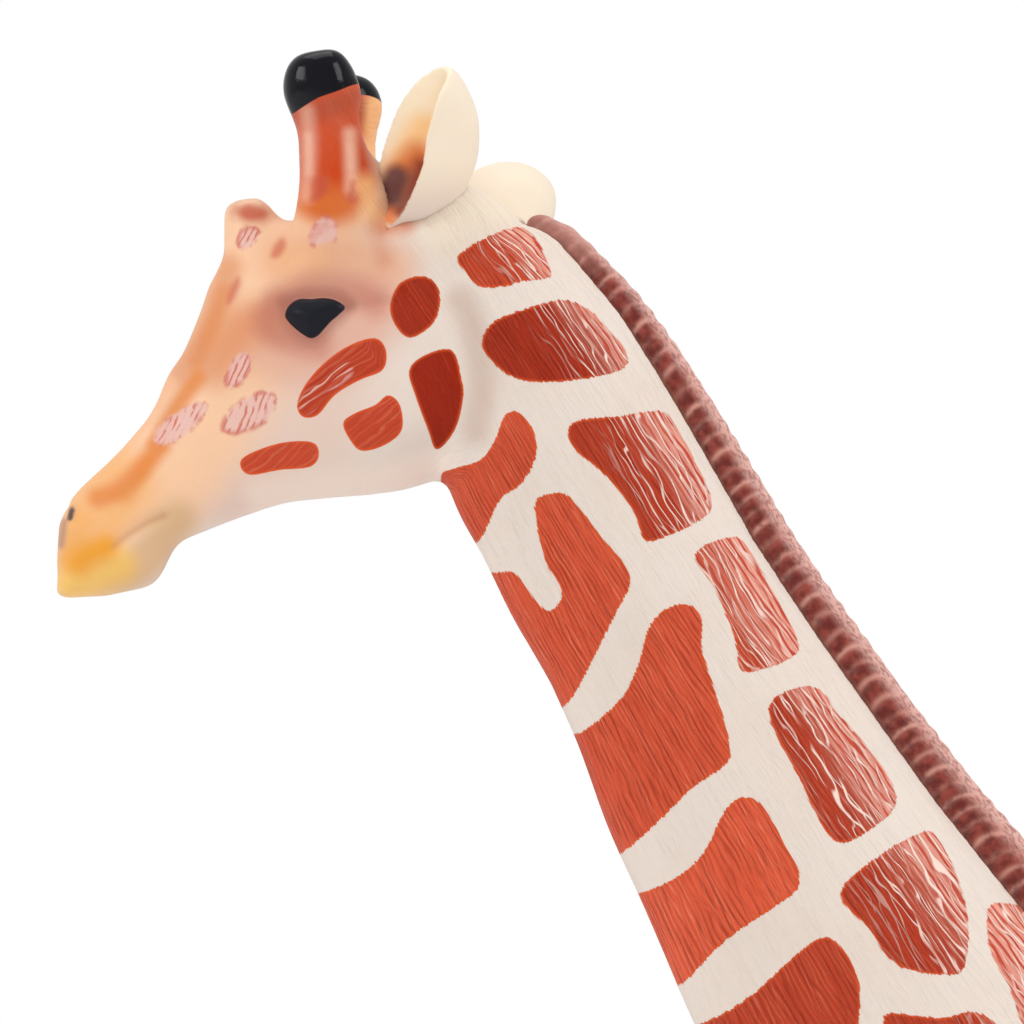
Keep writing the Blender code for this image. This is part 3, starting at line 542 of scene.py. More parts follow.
def segment_distance(points, start, end):
    """Distance of points from a segment."""
    along = end - start
    share = np.clip((points - start) @ along / (along @ along), 0, 1)
    return np.linalg.norm(points - start - share[:, None] * along, axis=1)


def line_distance(pixels, line):
    """Distance from an open line, in metres at the animal."""
    line = curve(line, closed=False)
    return min_over(segment_distance(pixels, a, b) for a, b in zip(line, line[1:])) * PIXEL


def min_over(arrays):
    """Least of several arrays, point by point."""
    result = None
    for values in arrays:
        result = values if result is None else np.minimum(result, values)
    return result


def inside_depth(pixels, outline):
    """Depth inside an outline in metres at the animal, negative outside."""
    outline = curve(outline)
    margin = PAINT_REACH / PIXEL
    result = np.full(len(pixels), -PAINT_REACH)
    low, high = outline.min(axis=0) - margin, outline.max(axis=0) + margin
    near = np.flatnonzero(np.all((pixels > low) & (pixels < high), axis=1))
    if not len(near):
        return result
    some = pixels[near]
    inside = np.zeros(len(near), dtype=bool)
    least = np.full(len(near), np.inf)
    for a, b in zip(outline, np.roll(outline, -1, axis=0)):
        least = np.minimum(least, segment_distance(some, a, b))
        crosses = (a[1] > some[:, 1]) != (b[1] > some[:, 1])
        rise = b[1] - a[1] if b[1] != a[1] else 1.0
        inside ^= crosses & (some[:, 0] < (b[0] - a[0]) * (some[:, 1] - a[1]) / rise + a[0])
    result[near] = np.clip(np.where(inside, least, -least) * PIXEL, -PAINT_REACH, PAINT_REACH)
    return result


def deepest(pixels, outlines):
    """Depth inside the nearest of several outlines."""
    return -min_over(-inside_depth(pixels, outline) for outline in outlines)


def mesh_arrays(mesh):
    """Points, normals and edges of a mesh."""
    points = np.empty(len(mesh.vertices) * 3)
    mesh.vertices.foreach_get("co", points)
    normals = np.empty(len(mesh.vertices) * 3)
    mesh.vertices.foreach_get("normal", normals)
    edges = np.empty(len(mesh.edges) * 2, dtype=np.int64)
    mesh.edges.foreach_get("vertices", edges)
    return points.reshape(-1, 3), normals.reshape(-1, 3), edges.reshape(-1, 2)


def set_points(mesh, points):
    """Move a mesh's points."""
    mesh.vertices.foreach_set("co", points.ravel())
    mesh.update()


def relax(points, edges, rounds, weight):
    """Smooth points over their neighbours, where the weight lets them move."""
    first, second = edges.T
    count = np.bincount(edges.ravel(), minlength=len(points))[:, None]
    for _ in range(rounds):
        total = np.empty_like(points)
        for axis in range(3):
            total[:, axis] = np.bincount(first, points[second, axis], len(points))
            total[:, axis] += np.bincount(second, points[first, axis], len(points))
        points = points + (total / count - points) * weight[:, None]
    return points


def neck_place(points):
    """Along the neck, back from its axis and round it, in metres and radians."""
    away = points - NECK_BASE
    along, back = away @ NECK_AIM, away @ NECK_BACK
    return along, back, np.arctan2(points[:, 1], back)


def head_place(points):
    """Along the head from the poll and above its axis, in metres."""
    away = points - POLL
    return away @ HEAD_AIM, away @ HEAD_UP


def near_neck_seam(points):
    """Where the plane between neck and torso cuts the figure and no other piece."""
    return np.abs(points[:, 2] - NECK_BASE[2]) < NECK_SEAM_BAND


def seam_distance(points):
    """Distance from the planes in which the mouldings meet."""
    along, _, _ = neck_place(points)
    away_neck = np.where(near_neck_seam(points), np.abs(along - NECK_SEAM), FAR_AWAY)
    return np.minimum(away_neck, np.abs(points[:, 2] - LEG_SEAM_HEIGHT))


def closed_seams(points):
    """Points with the glue gap of the flat seams taken up."""
    along, _, _ = neck_place(points)
    off = along - NECK_SEAM
    at_neck = (np.abs(off) < SEAM_REACH) & near_neck_seam(points)
    points = points - np.where(at_neck, off - np.sign(off) * SEAM_REST, 0)[:, None] * NECK_AIM
    off = points[:, 2] - LEG_SEAM_HEIGHT
    at_leg = np.abs(off) < SEAM_REACH
    points[:, 2] = np.where(at_leg, LEG_SEAM_HEIGHT + np.sign(off) * SEAM_REST, points[:, 2])
    return points


def weld(mesh):
    """Join the points that a mesh holds more than once."""
    bm = bmesh.new()
    bm.from_mesh(mesh)
    bmesh.ops.remove_doubles(bm, verts=bm.verts, dist=WELD_REACH)
    bm.to_mesh(mesh)
    bm.free()


def linked(name, data):
    """New object in the scene."""
    piece = bpy.data.objects.new(name, data)
    bpy.context.scene.collection.objects.link(piece)
    return piece


def fine_copy(node, grain, rounds, plump=0.0):
    """Fine, smooth copy of a CAD node, which may be plumped a little."""
    mesh = node.data.copy()
    mesh.materials.clear()
    weld(mesh)
    points, normals, _ = mesh_arrays(mesh)
    set_points(mesh, closed_seams(points) + normals * plump)
    rough = linked(node.name + "_rough", mesh)
    fuse = rough.modifiers.new("fuse", "REMESH")
    fuse.mode = "VOXEL"
    fuse.voxel_size = grain
    graph = bpy.context.evaluated_depsgraph_get()
    fine = bpy.data.meshes.new_from_object(rough.evaluated_get(graph), depsgraph=graph)
    bpy.data.objects.remove(rough)
    points, _, edges = mesh_arrays(fine)
    weight = MESH_SMOOTHING * smoothstep(0.0, SEAM_CALM, seam_distance(points))
    set_points(fine, relax(points, edges, rounds, weight))
    fine.shade_smooth()
    return linked(node.name + "_skin", fine)


def hair_place(points):
    """Across and along the hair, which turns from the neck to the head behind the jaw."""
    along, _, angle = neck_place(points)
    head_along, above = head_place(points)
    inward = np.minimum(head_along - HAIR_TURN_ALONG, above + HAIR_TURN_BELOW)
    on_head = smoothstep(-HAIR_TURN, HAIR_TURN, inward)
    other_side = smoothstep(0.0, HAIR_TURN, points[:, 1]) * HAIR_TURN
    across = (np.abs(angle) * NECK_RADIUS + other_side) * (1 - on_head) - above * on_head
    return across, along * (1 - on_head) + head_along * on_head


def smooth_share(points):
    """Where the head is smooth, without hair."""
    along, above = head_place(points)
    return smoothstep(-SMOOTH_TURN, SMOOTH_TURN, np.minimum(along - SMOOTH_ALONG, above + SMOOTH_BELOW))


def hair_waves(across, along, pitch, seed):
    """Lengthwise hair relief from -1 to 1."""
    rng = np.random.default_rng(seed)
    size, length = HAIR_SWAY
    curl, curl_across, curl_along = HAIR_CURL
    total = np.zeros_like(across)
    for rate in HAIR_RATES:
        phase, drift, bend = rng.uniform(0, 2 * math.pi, 3)
        sway = size * np.sin(along / (pitch * length) * rate + drift)
        sway += curl * np.sin(across / (pitch * curl_across) + along / (pitch * curl_along) + bend)
        total += np.sin(2 * math.pi * across / pitch * rate + phase + sway)
    return total / len(HAIR_RATES)


def press_hair(piece, across, along, hair, depth):
    """Press lengthwise hair relief into a piece, as deep as given at each point."""
    points, normals, _ = mesh_arrays(piece.data)
    wave = hair_waves(across, along, *hair)
    set_points(piece.data, points + normals * (wave * depth)[:, None])


def ridge(distance, width):
    """Rounded ridge along a line."""
    return np.exp(-(distance / width) ** 2)


def sculpt(piece):
    """Small pushes that bring the form to the photograph's outline."""
    points, _, _ = mesh_arrays(piece.data)
    pixels = near_pixels(points)
    far = smoothstep(*MIDDLE_BLEND, points[:, 1])
    for middle, radius, push, far_share in SCULPT:
        weight = np.exp(-((pixels - middle) ** 2).sum(axis=1) / radius ** 2) * (1 - far * (1 - far_share))
        right, down = push
        points = points + weight[:, None] * PIXEL * np.array((right, 0, -down))
    set_points(piece.data, points)


def relief(pixels, lines):
    """Height of the relief along lines."""
    return sum(height * ridge(line_distance(pixels, line), width) for line, height, width in lines)


def carve_head(piece):
    """Eyes with lids and brows, the mouth line, the creases and the nostrils."""
    points, normals, _ = mesh_arrays(piece.data)
    pixels = near_pixels(points)
    along, _ = head_place(points)
    side = smoothstep(*SIDE_START, np.abs(points[:, 1]))
    eye = inside_depth(pixels, EYE)
    shift = relief(pixels, SIDE_RELIEF) - SOCKET_DEPTH * band(SOCKET_START, SOCKET_END, eye)
    shift += LID_HEIGHT * (ridge(eye + LID_OUT, LID_WIDTH) - smoothstep(-LID_OUT, 0.0, eye))
    shift += BALL_HEIGHT * smoothstep(*BALL_EDGE, eye)
    shift = shift * side + relief(pixels, HEAD_RELIEF)
    shift += LIP_HEIGHT * ridge(line_distance(pixels, MOUTH) - LIP_OUT, LIP_WIDTH)
    shift *= smoothstep(*HEAD_START_SHARES, along / HEAD_LENGTH)
    shift += relief(pixels, FOLD_RELIEF) * side
    set_points(piece.data, points + normals * shift[:, None])
    return eye * side - (1 - side) * PAINT_REACH


def surface_tree(mesh):
    """Search tree of a mesh."""
    bm = bmesh.new()
    bm.from_mesh(mesh)
    tree = BVHTree.FromBMesh(bm)
    bm.free()
    return tree


def raised(point, normal, tree):
    """Place of a skin point that is lifted round an ear."""
    start = Vector(point)
    _, _, _, away = tree.find_nearest(start, COLLAR_REACH)
    if away is None:
        return point
    rise = COLLAR_HEIGHT * (1 - away / COLLAR_REACH) ** 2 * (1 + 2 * away / COLLAR_REACH)
    hit = tree.ray_cast(start, Vector(normal), rise + TOUCH_GAP)
    if hit[0]:
        rise = max(hit[3] - TOUCH_GAP, 0)
    return tuple(start + Vector(normal) * rise)


def drawn_in(point, _, tree):
    """Place of a skin point that is pulled against an ear."""
    start = Vector(point)
    nearest, _, _, away = tree.find_nearest(start, PULL_REACH)
    if away is None or away < TOUCH_GAP:
        return point
    pull = (1 - away / PULL_REACH) * 2
    return tuple(start + (nearest - start) * min(pull, 1) * (1 + TOUCH_SINK / away))


def moved_near(points, normals, ears, move):
    """Points near the ears moved one by one."""
    moved = points.copy()
    for ear in ears:
        tree = surface_tree(ear.data)
        corners = mesh_arrays(ear.data)[0]
        low, high = corners.min(axis=0) - COLLAR_REACH, corners.max(axis=0) + COLLAR_REACH
        for index in np.flatnonzero(np.all((moved > low) & (moved < high), axis=1)):
            moved[index] = move(moved[index], normals[index], tree)
    return moved


def close_round_ears(piece, ears):
    """Skin drawn up round the roots of the ears until it touches them."""
    mesh = piece.data
    points, normals, edges = mesh_arrays(mesh)
    moved = moved_near(points, normals, ears, raised)
    weight = 0.5 * smoothstep(0.0, PULL_REACH, np.linalg.norm(moved - points, axis=1))
    moved = relax(moved, edges, COLLAR_ROUNDS, weight)
    set_points(mesh, moved_near(moved, normals, ears, drawn_in))


def outer_points(nodes):
    """Points of the body's outside, on which the coat's cells may stand."""
    bm = bmesh.new()
    for name in ("torso", "neck_and_head", *LEGS):
        bm.from_mesh(nodes[name].data)
    tree = BVHTree.FromBMesh(bm)
    result = []
    for vert in bm.verts:
        start = vert.co + vert.normal * SKIN_LIFT
        if not tree.ray_cast(start, vert.normal, CAST_REACH)[0]:
            result.append(tuple(vert.co))
    bm.free()
    return np.array(result)


def cell_spacing(points):
    """Distance between the coat's cells at each point."""
    along, _, _ = neck_place(points)
    spacing = CELL_SPACING + (NECK_CELL_SPACING - CELL_SPACING) * smoothstep(*NECK_CELLS, along)
    return spacing + (LEG_CELL_SPACING - CELL_SPACING) * (1 - smoothstep(*LEG_CELLS, points[:, 2]))


def coat_seeds(nodes):
    """Middles of the coat's cells outside the photograph."""
    points = outer_points(nodes)
    points = points[points[:, 2] > COAT_END_HEIGHT]
    pixels = near_pixels(points)
    clear = deepest(pixels, NECK_PATCHES) < -SEED_CLEARANCE
    points = points[clear & np.any(pixels >= FRAME_PIXELS, axis=1)]
    rng = np.random.default_rng(SEED)
    spacing = cell_spacing(points)
    chosen = []
    for index in rng.permutation(len(points)):
        point = points[index]
        if all(np.linalg.norm(point - other) > spacing[index] for other in chosen):
            chosen.append(point)
    return np.array(chosen)


def warped(points):
    """Points pushed about a little, so that the cells' edges aren't straight."""
    turned = points.T * 2 * math.pi
    push = [np.sin(turned[(axis + 1) % 3] / first + turned[(axis + 2) % 3] / second + axis)
            for axis, (first, second) in enumerate(WARP_LENGTHS)]
    return points + np.stack(push, axis=1) * WARP


def cell_edges(points, seeds):
    """Depth inside the nearest seed's cell, with rounded corners."""
    square = ((points[:, None, :] - seeds[None]) ** 2).sum(axis=2)
    order = np.argpartition(square, CELL_NEIGHBOURS - 1, axis=1)[:, :CELL_NEIGHBOURS]
    near = np.take_along_axis(square, order, axis=1)
    rank = np.argsort(near, axis=1)
    order = np.take_along_axis(order, rank, axis=1)
    near = np.take_along_axis(near, rank, axis=1)
    own = seeds[order[:, 0]]
    edge = np.full(len(points), TINY)
    for other in range(1, CELL_NEIGHBOURS):
        apart = np.linalg.norm(seeds[order[:, other]] - own, axis=1)
        edge += np.exp((near[:, 0] - near[:, other]) / apart / CELL_ROUND)
    return -np.log(edge) * CELL_ROUND / 2


def cell_depth(points, seeds, photo_depth):
    """Depth inside the coat's own cells, kept clear of the patches of the photograph."""
    points = warped(points)
    chunks = range(0, len(points), CELL_CHUNK)
    depth = np.concatenate([cell_edges(points[start:start + CELL_CHUNK], seeds) for start in chunks])
    depth = depth - CELL_GAP / 2
    clear = -photo_depth - CELL_GAP
    depth = -np.log(np.exp(-depth / CELL_ROUND * 2) + np.exp(-clear / CELL_ROUND * 2)) * CELL_ROUND / 2
    depth = depth - CELL_THINNING * (1 - smoothstep(COAT_END_HEIGHT, COAT_FULL_HEIGHT, points[:, 2]))
    return np.clip(depth, -PAINT_REACH, PAINT_REACH)


def photo_pixels(points):
    """Pixels at which the near side's paint is read; on the far neck they drift, so the sides differ."""
    pixels = near_pixels(points)
    along, _, _ = neck_place(points)
    far = smoothstep(*DRIFT_START, points[:, 1]) * (1 - smoothstep(*DRIFT_END, along))
    drift = np.stack([push + swing * np.sin(pixels[:, 1 - axis] / length)
                      for axis, (push, swing, length) in enumerate(DRIFTS)], axis=1)
    return pixels + drift * far[:, None]


def photo_coat(pixels):
    """Depth inside the photograph's patches, and the tone of the nearest."""
    depth = np.full(len(pixels), -np.inf)
    tone = np.full(len(pixels), PLAIN_TONE)
    for outline, own_tone in zip(FACE_PATCHES + NECK_PATCHES, FACE_TONES + NECK_TONES):
        own = inside_depth(pixels, outline)
        tone = np.where((own > depth) & (own > -PAINT_REACH), own_tone, tone)
        depth = np.maximum(depth, own)
    return depth, tone


def coat(points, seeds):
    """Depth inside the red-brown patches and their tone."""
    pixels = photo_pixels(points)
    photo, tone = photo_coat(pixels)
    cells = cell_depth(points, seeds, photo)
    unseen = np.max(pixels, axis=1) - FRAME_PIXELS
    cells = np.minimum(cells, unseen * PIXEL)
    return np.maximum(photo, cells), np.where(cells > photo, PLAIN_TONE, tone)


def blend(base, colour, share):
    """Mix a colour over others."""
    return base + (np.array(colour) - base) * share[:, None]


def airbrushed(tint, pixels, strokes):
    """Soft strokes of colour laid over a tint."""
    for colour, strength, radius, softness, line in strokes:
        away = line_distance(pixels, line) / PIXEL / radius
        tint = blend(tint, colour, strength * (1 - smoothstep(1 - softness, 1, away)))
    return tint


def plain(colour, points):
    """One colour for all points."""
    return np.tile(np.array(colour), (len(points), 1))


def tint_of(points):
    """Colours of the skin under the patches."""
    pixels = near_pixels(points)
    tint = airbrushed(plain(IVORY, points), pixels, STROKES)
    far = smoothstep(*FAR_BLEND, points[:, 1])[:, None]
    # Painted highlight on the far horn
    tint = tint + (airbrushed(tint, project(points), FAR_HORN_HIGHLIGHT_STROKES) - tint) * far
    tint = blend(tint, SPOT_RED, RED_SPOT_SHARE * smoothstep(*RED_SPOT_EDGE, deepest(pixels, RED_SPOTS)))
    return blend(tint, HOOF_GREY, 1 - smoothstep(*HOOF_EDGE, points[:, 2] - HOOF_HEIGHT))


def add_values(mesh, name, values):
    """One number for each point."""
    layer = mesh.attributes.new(name, "FLOAT", "POINT")
    layer.data.foreach_set("value", np.asarray(values, dtype=np.float32))


def add_vectors(mesh, name, values):
    """One vector for each point."""
    layer = mesh.attributes.new(name, "FLOAT_VECTOR", "POINT")
    layer.data.foreach_set("vector", np.asarray(values, dtype=np.float32).ravel())


def paint(piece, tint, hair, **shares):
    """Give a piece what its material reads. Depths and places are in millimetres there."""
    mesh = piece.data
    layer = mesh.attributes.new("tint", "FLOAT_COLOR", "POINT")
    rgba = np.concatenate((tint, np.ones((len(tint), 1))), axis=1)
    layer.data.foreach_set("color", np.asarray(rgba, dtype=np.float32).ravel())
    across, along = hair
    add_vectors(mesh, "hair", np.stack((across, along, np.zeros_like(across)), axis=1) * MILLIMETRES)
    for name in ("patch", "spot", "eye", "cap"):
        add_values(mesh, name, shares.get(name, np.full(len(tint), -PAINT_REACH)) * MILLIMETRES)
    for name in ("streak", "tone", "fur", "polish"):
        add_values(mesh, name, shares.get(name, np.zeros(len(tint))))


class Graph:
    """Short ways to add shader nodes to a material or the world."""

    def __init__(self, owner):
        self.owner = owner
        owner.use_nodes = True
        self.nodes = owner.node_tree.nodes
        self.links = owner.node_tree.links
        self.shader = self.nodes.get("Principled BSDF")

    def put(self, socket, value):
        """Set or link one input."""
        if isinstance(value, bpy.types.NodeSocket):
            self.links.new(value, socket)
        else:
            socket.default_value = value

    def node(self, kind, *values, operation=None, **named):
        """New node with its first inputs, or those named, set or linked."""
        node = self.nodes.new("ShaderNode" + kind)
        if operation:
            node.operation = operation
        for socket, value in zip(node.inputs, values):
            self.put(socket, value)
        for name, value in named.items():
            self.put(node.inputs[name], value)
        return node

    def shade(self, inputs):
        """Set or link inputs of the material's shader."""
        for name, value in inputs.items():
            self.put(self.shader.inputs[name], value)

    def attribute(self, name, output="Fac"):
        node = self.node("Attribute")
        node.attribute_name = name
        return node.outputs[output]

    def place(self):
        return self.node("TexCoord").outputs["Object"]

    def math(self, operation, *values):
        return self.node("Math", *values, operation=operation).outputs[0]

    def times(self, first, second):
        return self.math("MULTIPLY", first, second)

    def scaled(self, vector, scale):
        return self.node("VectorMath", vector, scale, operation="MULTIPLY").outputs[0]

    def ramp(self, value, low, high, start=0.0, end=1.0):
        """Smooth change from start to end while the value goes from low to high."""
        node = self.node("MapRange", value, low, high, start, end)
        node.interpolation_type = "SMOOTHSTEP"
        return node.outputs[0]

    def mix(self, share, first, second):
        """Second colour over the first."""
        node = self.node("Mix", share)
        node.data_type = "RGBA"
        for socket, value in ((node.inputs[6], first), (node.inputs[7], second)):
            self.put(socket, value if isinstance(value, bpy.types.NodeSocket) else (*value, 1))
        return node.outputs[2]

    def mix_number(self, share, first, second):
        """Second number in place of the first."""
        node = self.node("Mix", share)
        self.put(node.inputs[2], first)
        self.put(node.inputs[3], second)
        return node.outputs[0]

    def noise(self, vector, scale, detail=2.0, distortion=0.0):
        node = self.node("TexNoise", Vector=vector, Scale=scale, Detail=detail, Distortion=distortion)
        return node.outputs["Fac"]

    def strands(self, hair, pitch, sway, width, slant=0.0):
        """Long wavy lines along the hair or slanted to it."""
        wave = self.noise(self.scaled(hair, (0.35 / pitch, 0.12 / pitch, 1)), 1.0)
        across = self.node("VectorMath", hair, (1 / pitch, slant / pitch, 0), operation="DOT_PRODUCT")
        off = self.math("PINGPONG", self.math("MULTIPLY_ADD", wave, sway, across.outputs["Value"]), 0.5)
        return self.ramp(off, width, 2.5 * width, 1.0, 0.0)

    def bump(self, height, distance, strength, normal=None):
        node = self.node("Bump", Distance=distance, Strength=strength, Height=height)
        if normal:
            self.put(node.inputs["Normal"], normal)
        return node.outputs["Normal"]


def patch_colours(g, hair, fine, fur):
    """Stamped patches with dark grooves, pale hairs with painted glints and a painted sheen on what faces
    the light, and the hairs' relief.
    """
    tone, streak = g.attribute("tone"), g.attribute("streak")
    parted = g.ramp(g.noise(g.scaled(hair, (0.9, 0.16, 1)), 1.0, 1.0), 0.40, 0.56)
    broken = g.ramp(g.noise(g.scaled(hair, (1.3, 0.30, 1)), 1.0, 1.0), 0.40, 0.60)
    lines = g.strands(hair, *GROOVE_LINES)
    grooves = g.times(lines, g.mix_number(broken, 0.35, 1.0))
    hairs = g.times(g.strands(hair, *HAIR_LINES), g.mix_number(parted, 1.0, 0.35))
    veins = g.times(g.strands(hair, *VEIN_LINES), parted)
    veins = g.math("MAXIMUM", veins, g.times(g.strands(hair, *FINE_VEIN_LINES), broken))
    # Deep red-brown to coral by tone; the coral is partly painted sheen on the lit patches
    body = g.mix(tone, PATCH_DEEP, PATCH_CORAL)
    body = g.mix(g.times(hairs, g.math("MULTIPLY_ADD", tone, 0.38, 0.05)), body, PATCH_SHEEN)
    # Painted glare: pale pink over the patches where they face the light
    glare = g.times(g.ramp(streak, 0.48, 0.95, 0.0, 0.66), g.ramp(fine, 0.25, 0.55, 0.4, 1.0))
    body = g.mix(glare, body, PATCH_GLARE)
    body = g.mix(g.times(hairs, glare), body, GLINT_PALE)
    body = g.mix(g.times(grooves, g.mix_number(fur, 0.15, 0.42)), body, PATCH_LINE)
    body = g.mix(g.times(lines, g.ramp(glare, 0.15, 0.55, 0.0, 0.85)), body, PATCH_RED)
    # Painted glints: pale veins where the patches face the light
    body = g.mix(g.times(veins, g.ramp(streak, 0.22, 0.58)), body, GLINT_PALE)
    rim = g.times(g.ramp(g.attribute("patch"), 0.03, 0.22, 0.7, 0.0), g.ramp(streak, 0.2, 0.8, 1.0, 0.3))
    height = g.math("MULTIPLY_ADD", grooves, -0.6, g.math("MULTIPLY_ADD", hairs, 0.4, veins))
    return g.mix(rim, body, PATCH_RIM), height


def spotted(g, hair, ivory):
    """Ivory with light spots that carry slanted red flecks."""
    spot = g.attribute("spot")
    mottle = g.noise(g.place(), 1100.0)
    streaks = g.times(g.strands(hair, *SPOT_LINES), g.ramp(mottle, 0.36, 0.58, 0.0, 0.85))
    edge = g.times(g.ramp(spot, 0.0, 0.30, 0.7, 0.0), g.ramp(mottle, 0.44, 0.56))
    flecks = g.mix(g.math("MAXIMUM", streaks, edge), SPOT_LILAC, SPOT_RED)
    soft = g.math("MULTIPLY_ADD", g.math("SUBTRACT", mottle, 0.5), 0.7, spot)
    return g.mix(g.ramp(soft, -0.16, 0.16, 0.0, 0.85), ivory, flecks)


def stamped_share(g, fine, fur):
    """Where the patches' paint lies, with a ragged edge where there is hair."""
    ragged = g.times(g.math("SUBTRACT", fine, 0.5), fur)
    return g.ramp(g.math("MULTIPLY_ADD", ragged, 0.34, g.attribute("patch")), *STAMP_EDGE)


def skin_material():
    """Ivory plastic with airbrushed tints, stamped patches and fine hair lines."""
    g = Graph(bpy.data.materials.new("painted_ivory_plastic"))
    hair, fur, polish = g.attribute("hair", "Vector"), g.attribute("fur"), g.attribute("polish")
    fine = g.noise(g.scaled(hair, (6.0, 0.60, 1)), 1.0, 2.0, 0.5)
    cloud = g.noise(g.place(), 170.0, 3.0)
    ivory = g.mix(g.ramp(cloud, 0.35, 0.7, 0.0, 0.14), g.attribute("tint", "Color"), GROOVE_BEIGE)
    ivory = g.mix(g.times(g.ramp(fine, 0.55, 0.75, 0.0, 0.10), fur), ivory, GROOVE_BEIGE)
    body, height = patch_colours(g, hair, fine, fur)
    stamped = stamped_share(g, fine, fur)
    base = g.mix(stamped, spotted(g, hair, ivory), body)
    eye, cap = (g.ramp(g.attribute(name), *STAMP_EDGE) for name in ("eye", "cap"))
    satin = g.math("MULTIPLY_ADD", g.times(fine, fur), 0.14, g.mix_number(polish, 0.40, 0.14))
    pressed = g.times(height, g.math("MULTIPLY_ADD", stamped, 0.85, 0.15))
    pressed = g.times(g.math("MULTIPLY_ADD", fine, 0.35, pressed), fur)
    grain = g.noise(g.place(), 6000.0)
    g.shade({
        "Base Color": g.mix(cap, g.mix(eye, base, EYE_BLACK), CAP_BLACK),
        "Roughness": g.mix_number(cap, g.mix_number(eye, satin, 0.42), 0.13),
        "Normal": g.bump(grain, GRAIN_BUMP, 0.35, g.bump(pressed, HAIR_BUMP, 0.6)),
        "Specular IOR Level": g.mix_number(stamped, g.mix_number(polish, 0.15, 0.30), 0.09),
        "Subsurface Weight": 0.10,
        "Subsurface Radius": (0.9, 0.55, 0.35),
        "Subsurface Scale": GLOW_DEPTH,
    })
    return g.owner


def mane_material():
    """Dusty brown paint, paler on the ribs and the crest as painted highlights."""
    g = Graph(bpy.data.materials.new("mane_brown_paint"))
    rise = g.attribute("rise")
    strand = g.noise(g.scaled(g.attribute("hair", "Vector"), (7.0, 3.0, 3.0)), 1.0, 3.0, 0.3)
    wear = g.noise(g.place(), 1500.0, 3.0)
    base = g.mix(g.ramp(wear, 0.35, 0.7), MANE_DARK, MANE_MID)
    base = g.mix(g.ramp(rise, 0.0, 0.20, 0.75, 0.0), base, MANE_RIB)
    # Painted highlights along the ribs
    base = g.mix(g.times(g.attribute("rib"), g.ramp(wear, 0.32, 0.55, 0.35, 0.9)), base, MANE_RIB)
    # Painted highlight along the crest, broken up by strands
    crest_highlight = g.times(g.ramp(rise, 0.50, 1.0), g.ramp(strand, 0.36, 0.58, 0.45, 1.0))
    base = g.mix(crest_highlight, base, MANE_CREST_HIGHLIGHT)
    g.shade({
        "Base Color": g.mix(g.attribute("fade"), base, MANE_TIP),
        "Roughness": g.ramp(wear, 0.2, 0.8, 0.34, 0.55),
        "Normal": g.bump(wear, MANE_BUMP, 0.5),
        "Specular IOR Level": 0.26,
    })
    return g.owner


def finish_piece(piece, material, name):
    """Dress a piece and let it stand for its solid."""
    piece.data.materials.append(material)
    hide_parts(name)
    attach(piece, "root")


def glint_share(normals):
    """Where painted glints of the pale hair lines lie: on what faces up and back, toward the light."""
    return smoothstep(*GLINT_TURN, normals @ np.array(GLINT_AIM))


def dress_neck(nodes, seeds, ears, material):
    """Head and neck."""
    piece = fine_copy(nodes["neck_and_head"], *HEAD_MESH)
    close_round_ears(piece, ears)
    eye = carve_head(piece)
    sculpt(piece)
    points, normals, _ = mesh_arrays(piece.data)
    pixels = near_pixels(points)
    hair, smooth = hair_place(points), smooth_share(points)
    cap = inside_depth(pixels, NEAR_CAP)
    fur = (1 - SMOOTH_CALM * smooth) * (1 - smoothstep(-GLOSS_EDGE, 0.0, np.maximum(eye, cap)))
    press_hair(piece, *hair, NECK_HAIR, HAIR_DEPTH * fur)
    # Painted glints along a line in a face patch
    line_glint = GLINT_LINE_SHARE * (1 - smoothstep(*GLINT_LINE_EDGE, line_distance(pixels, GLINT_PATCH_LINE)))
    # Painted shade round the eye's edge
    tint = blend(tint_of(points), LID_SHADOW_BROWN, LID_SHADE * smoothstep(-LID_SHADE_REACH, 0.0, eye))
    _, above = head_place(points)
    patch, tone = coat(points, seeds)
    # The streak share places painted glints and sheen on the patches
    paint(piece, tint, hair, patch=patch, tone=tone, eye=eye, cap=cap, fur=fur,
          spot=deepest(pixels, SPOTS),
          polish=smoothstep(HORN_FOOT, HORN_FOOT + HORN_FOOT_BLEND, above) * smooth,
          streak=np.maximum(glint_share(normals) * (1 - smooth), line_glint))
    finish_piece(piece, material, "neck_and_head")


def dress_plain(piece, name, hair, fur, seeds, material):
    """Coat of a piece below the photograph."""
    press_hair(piece, *hair, BODY_HAIR, HAIR_DEPTH * fur)
    points, normals, _ = mesh_arrays(piece.data)
    patch, tone = coat(points, seeds)
    paint(piece, tint_of(points), hair, patch=patch, tone=tone, fur=fur,
          # Painted glints on what faces up and back toward the light
          streak=glint_share(normals) * PLAIN_GLINT)
    finish_piece(piece, material, name)


def dress_body(nodes, seeds, material):
    """Torso."""
    piece = fine_copy(nodes["torso"], *BODY_MESH)
    points, _, _ = mesh_arrays(piece.data)
    angle = np.arctan2(points[:, 1], points[:, 2] - TORSO_AXIS_HEIGHT)
    hair = angle * TORSO_RADIUS, points[:, 0]
    dress_plain(piece, "torso", hair, np.ones(len(points)), seeds, material)


def dress_leg(nodes, name, seeds, material):
    """One leg."""
    piece = fine_copy(nodes[name], *LEG_MESH)
    points, _, _ = mesh_arrays(piece.data)
    low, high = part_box(name)
    middle = (low + high) / 2
    angle = np.arctan2(points[:, 1] - middle.y, points[:, 0] - middle.x)
    fur = smoothstep(HOOF_HEIGHT, HOOF_HEIGHT + HOOF_FUR_BLEND, points[:, 2])
    dress_plain(piece, name, (angle * LEG_RADIUS, points[:, 2]), fur, seeds, material)


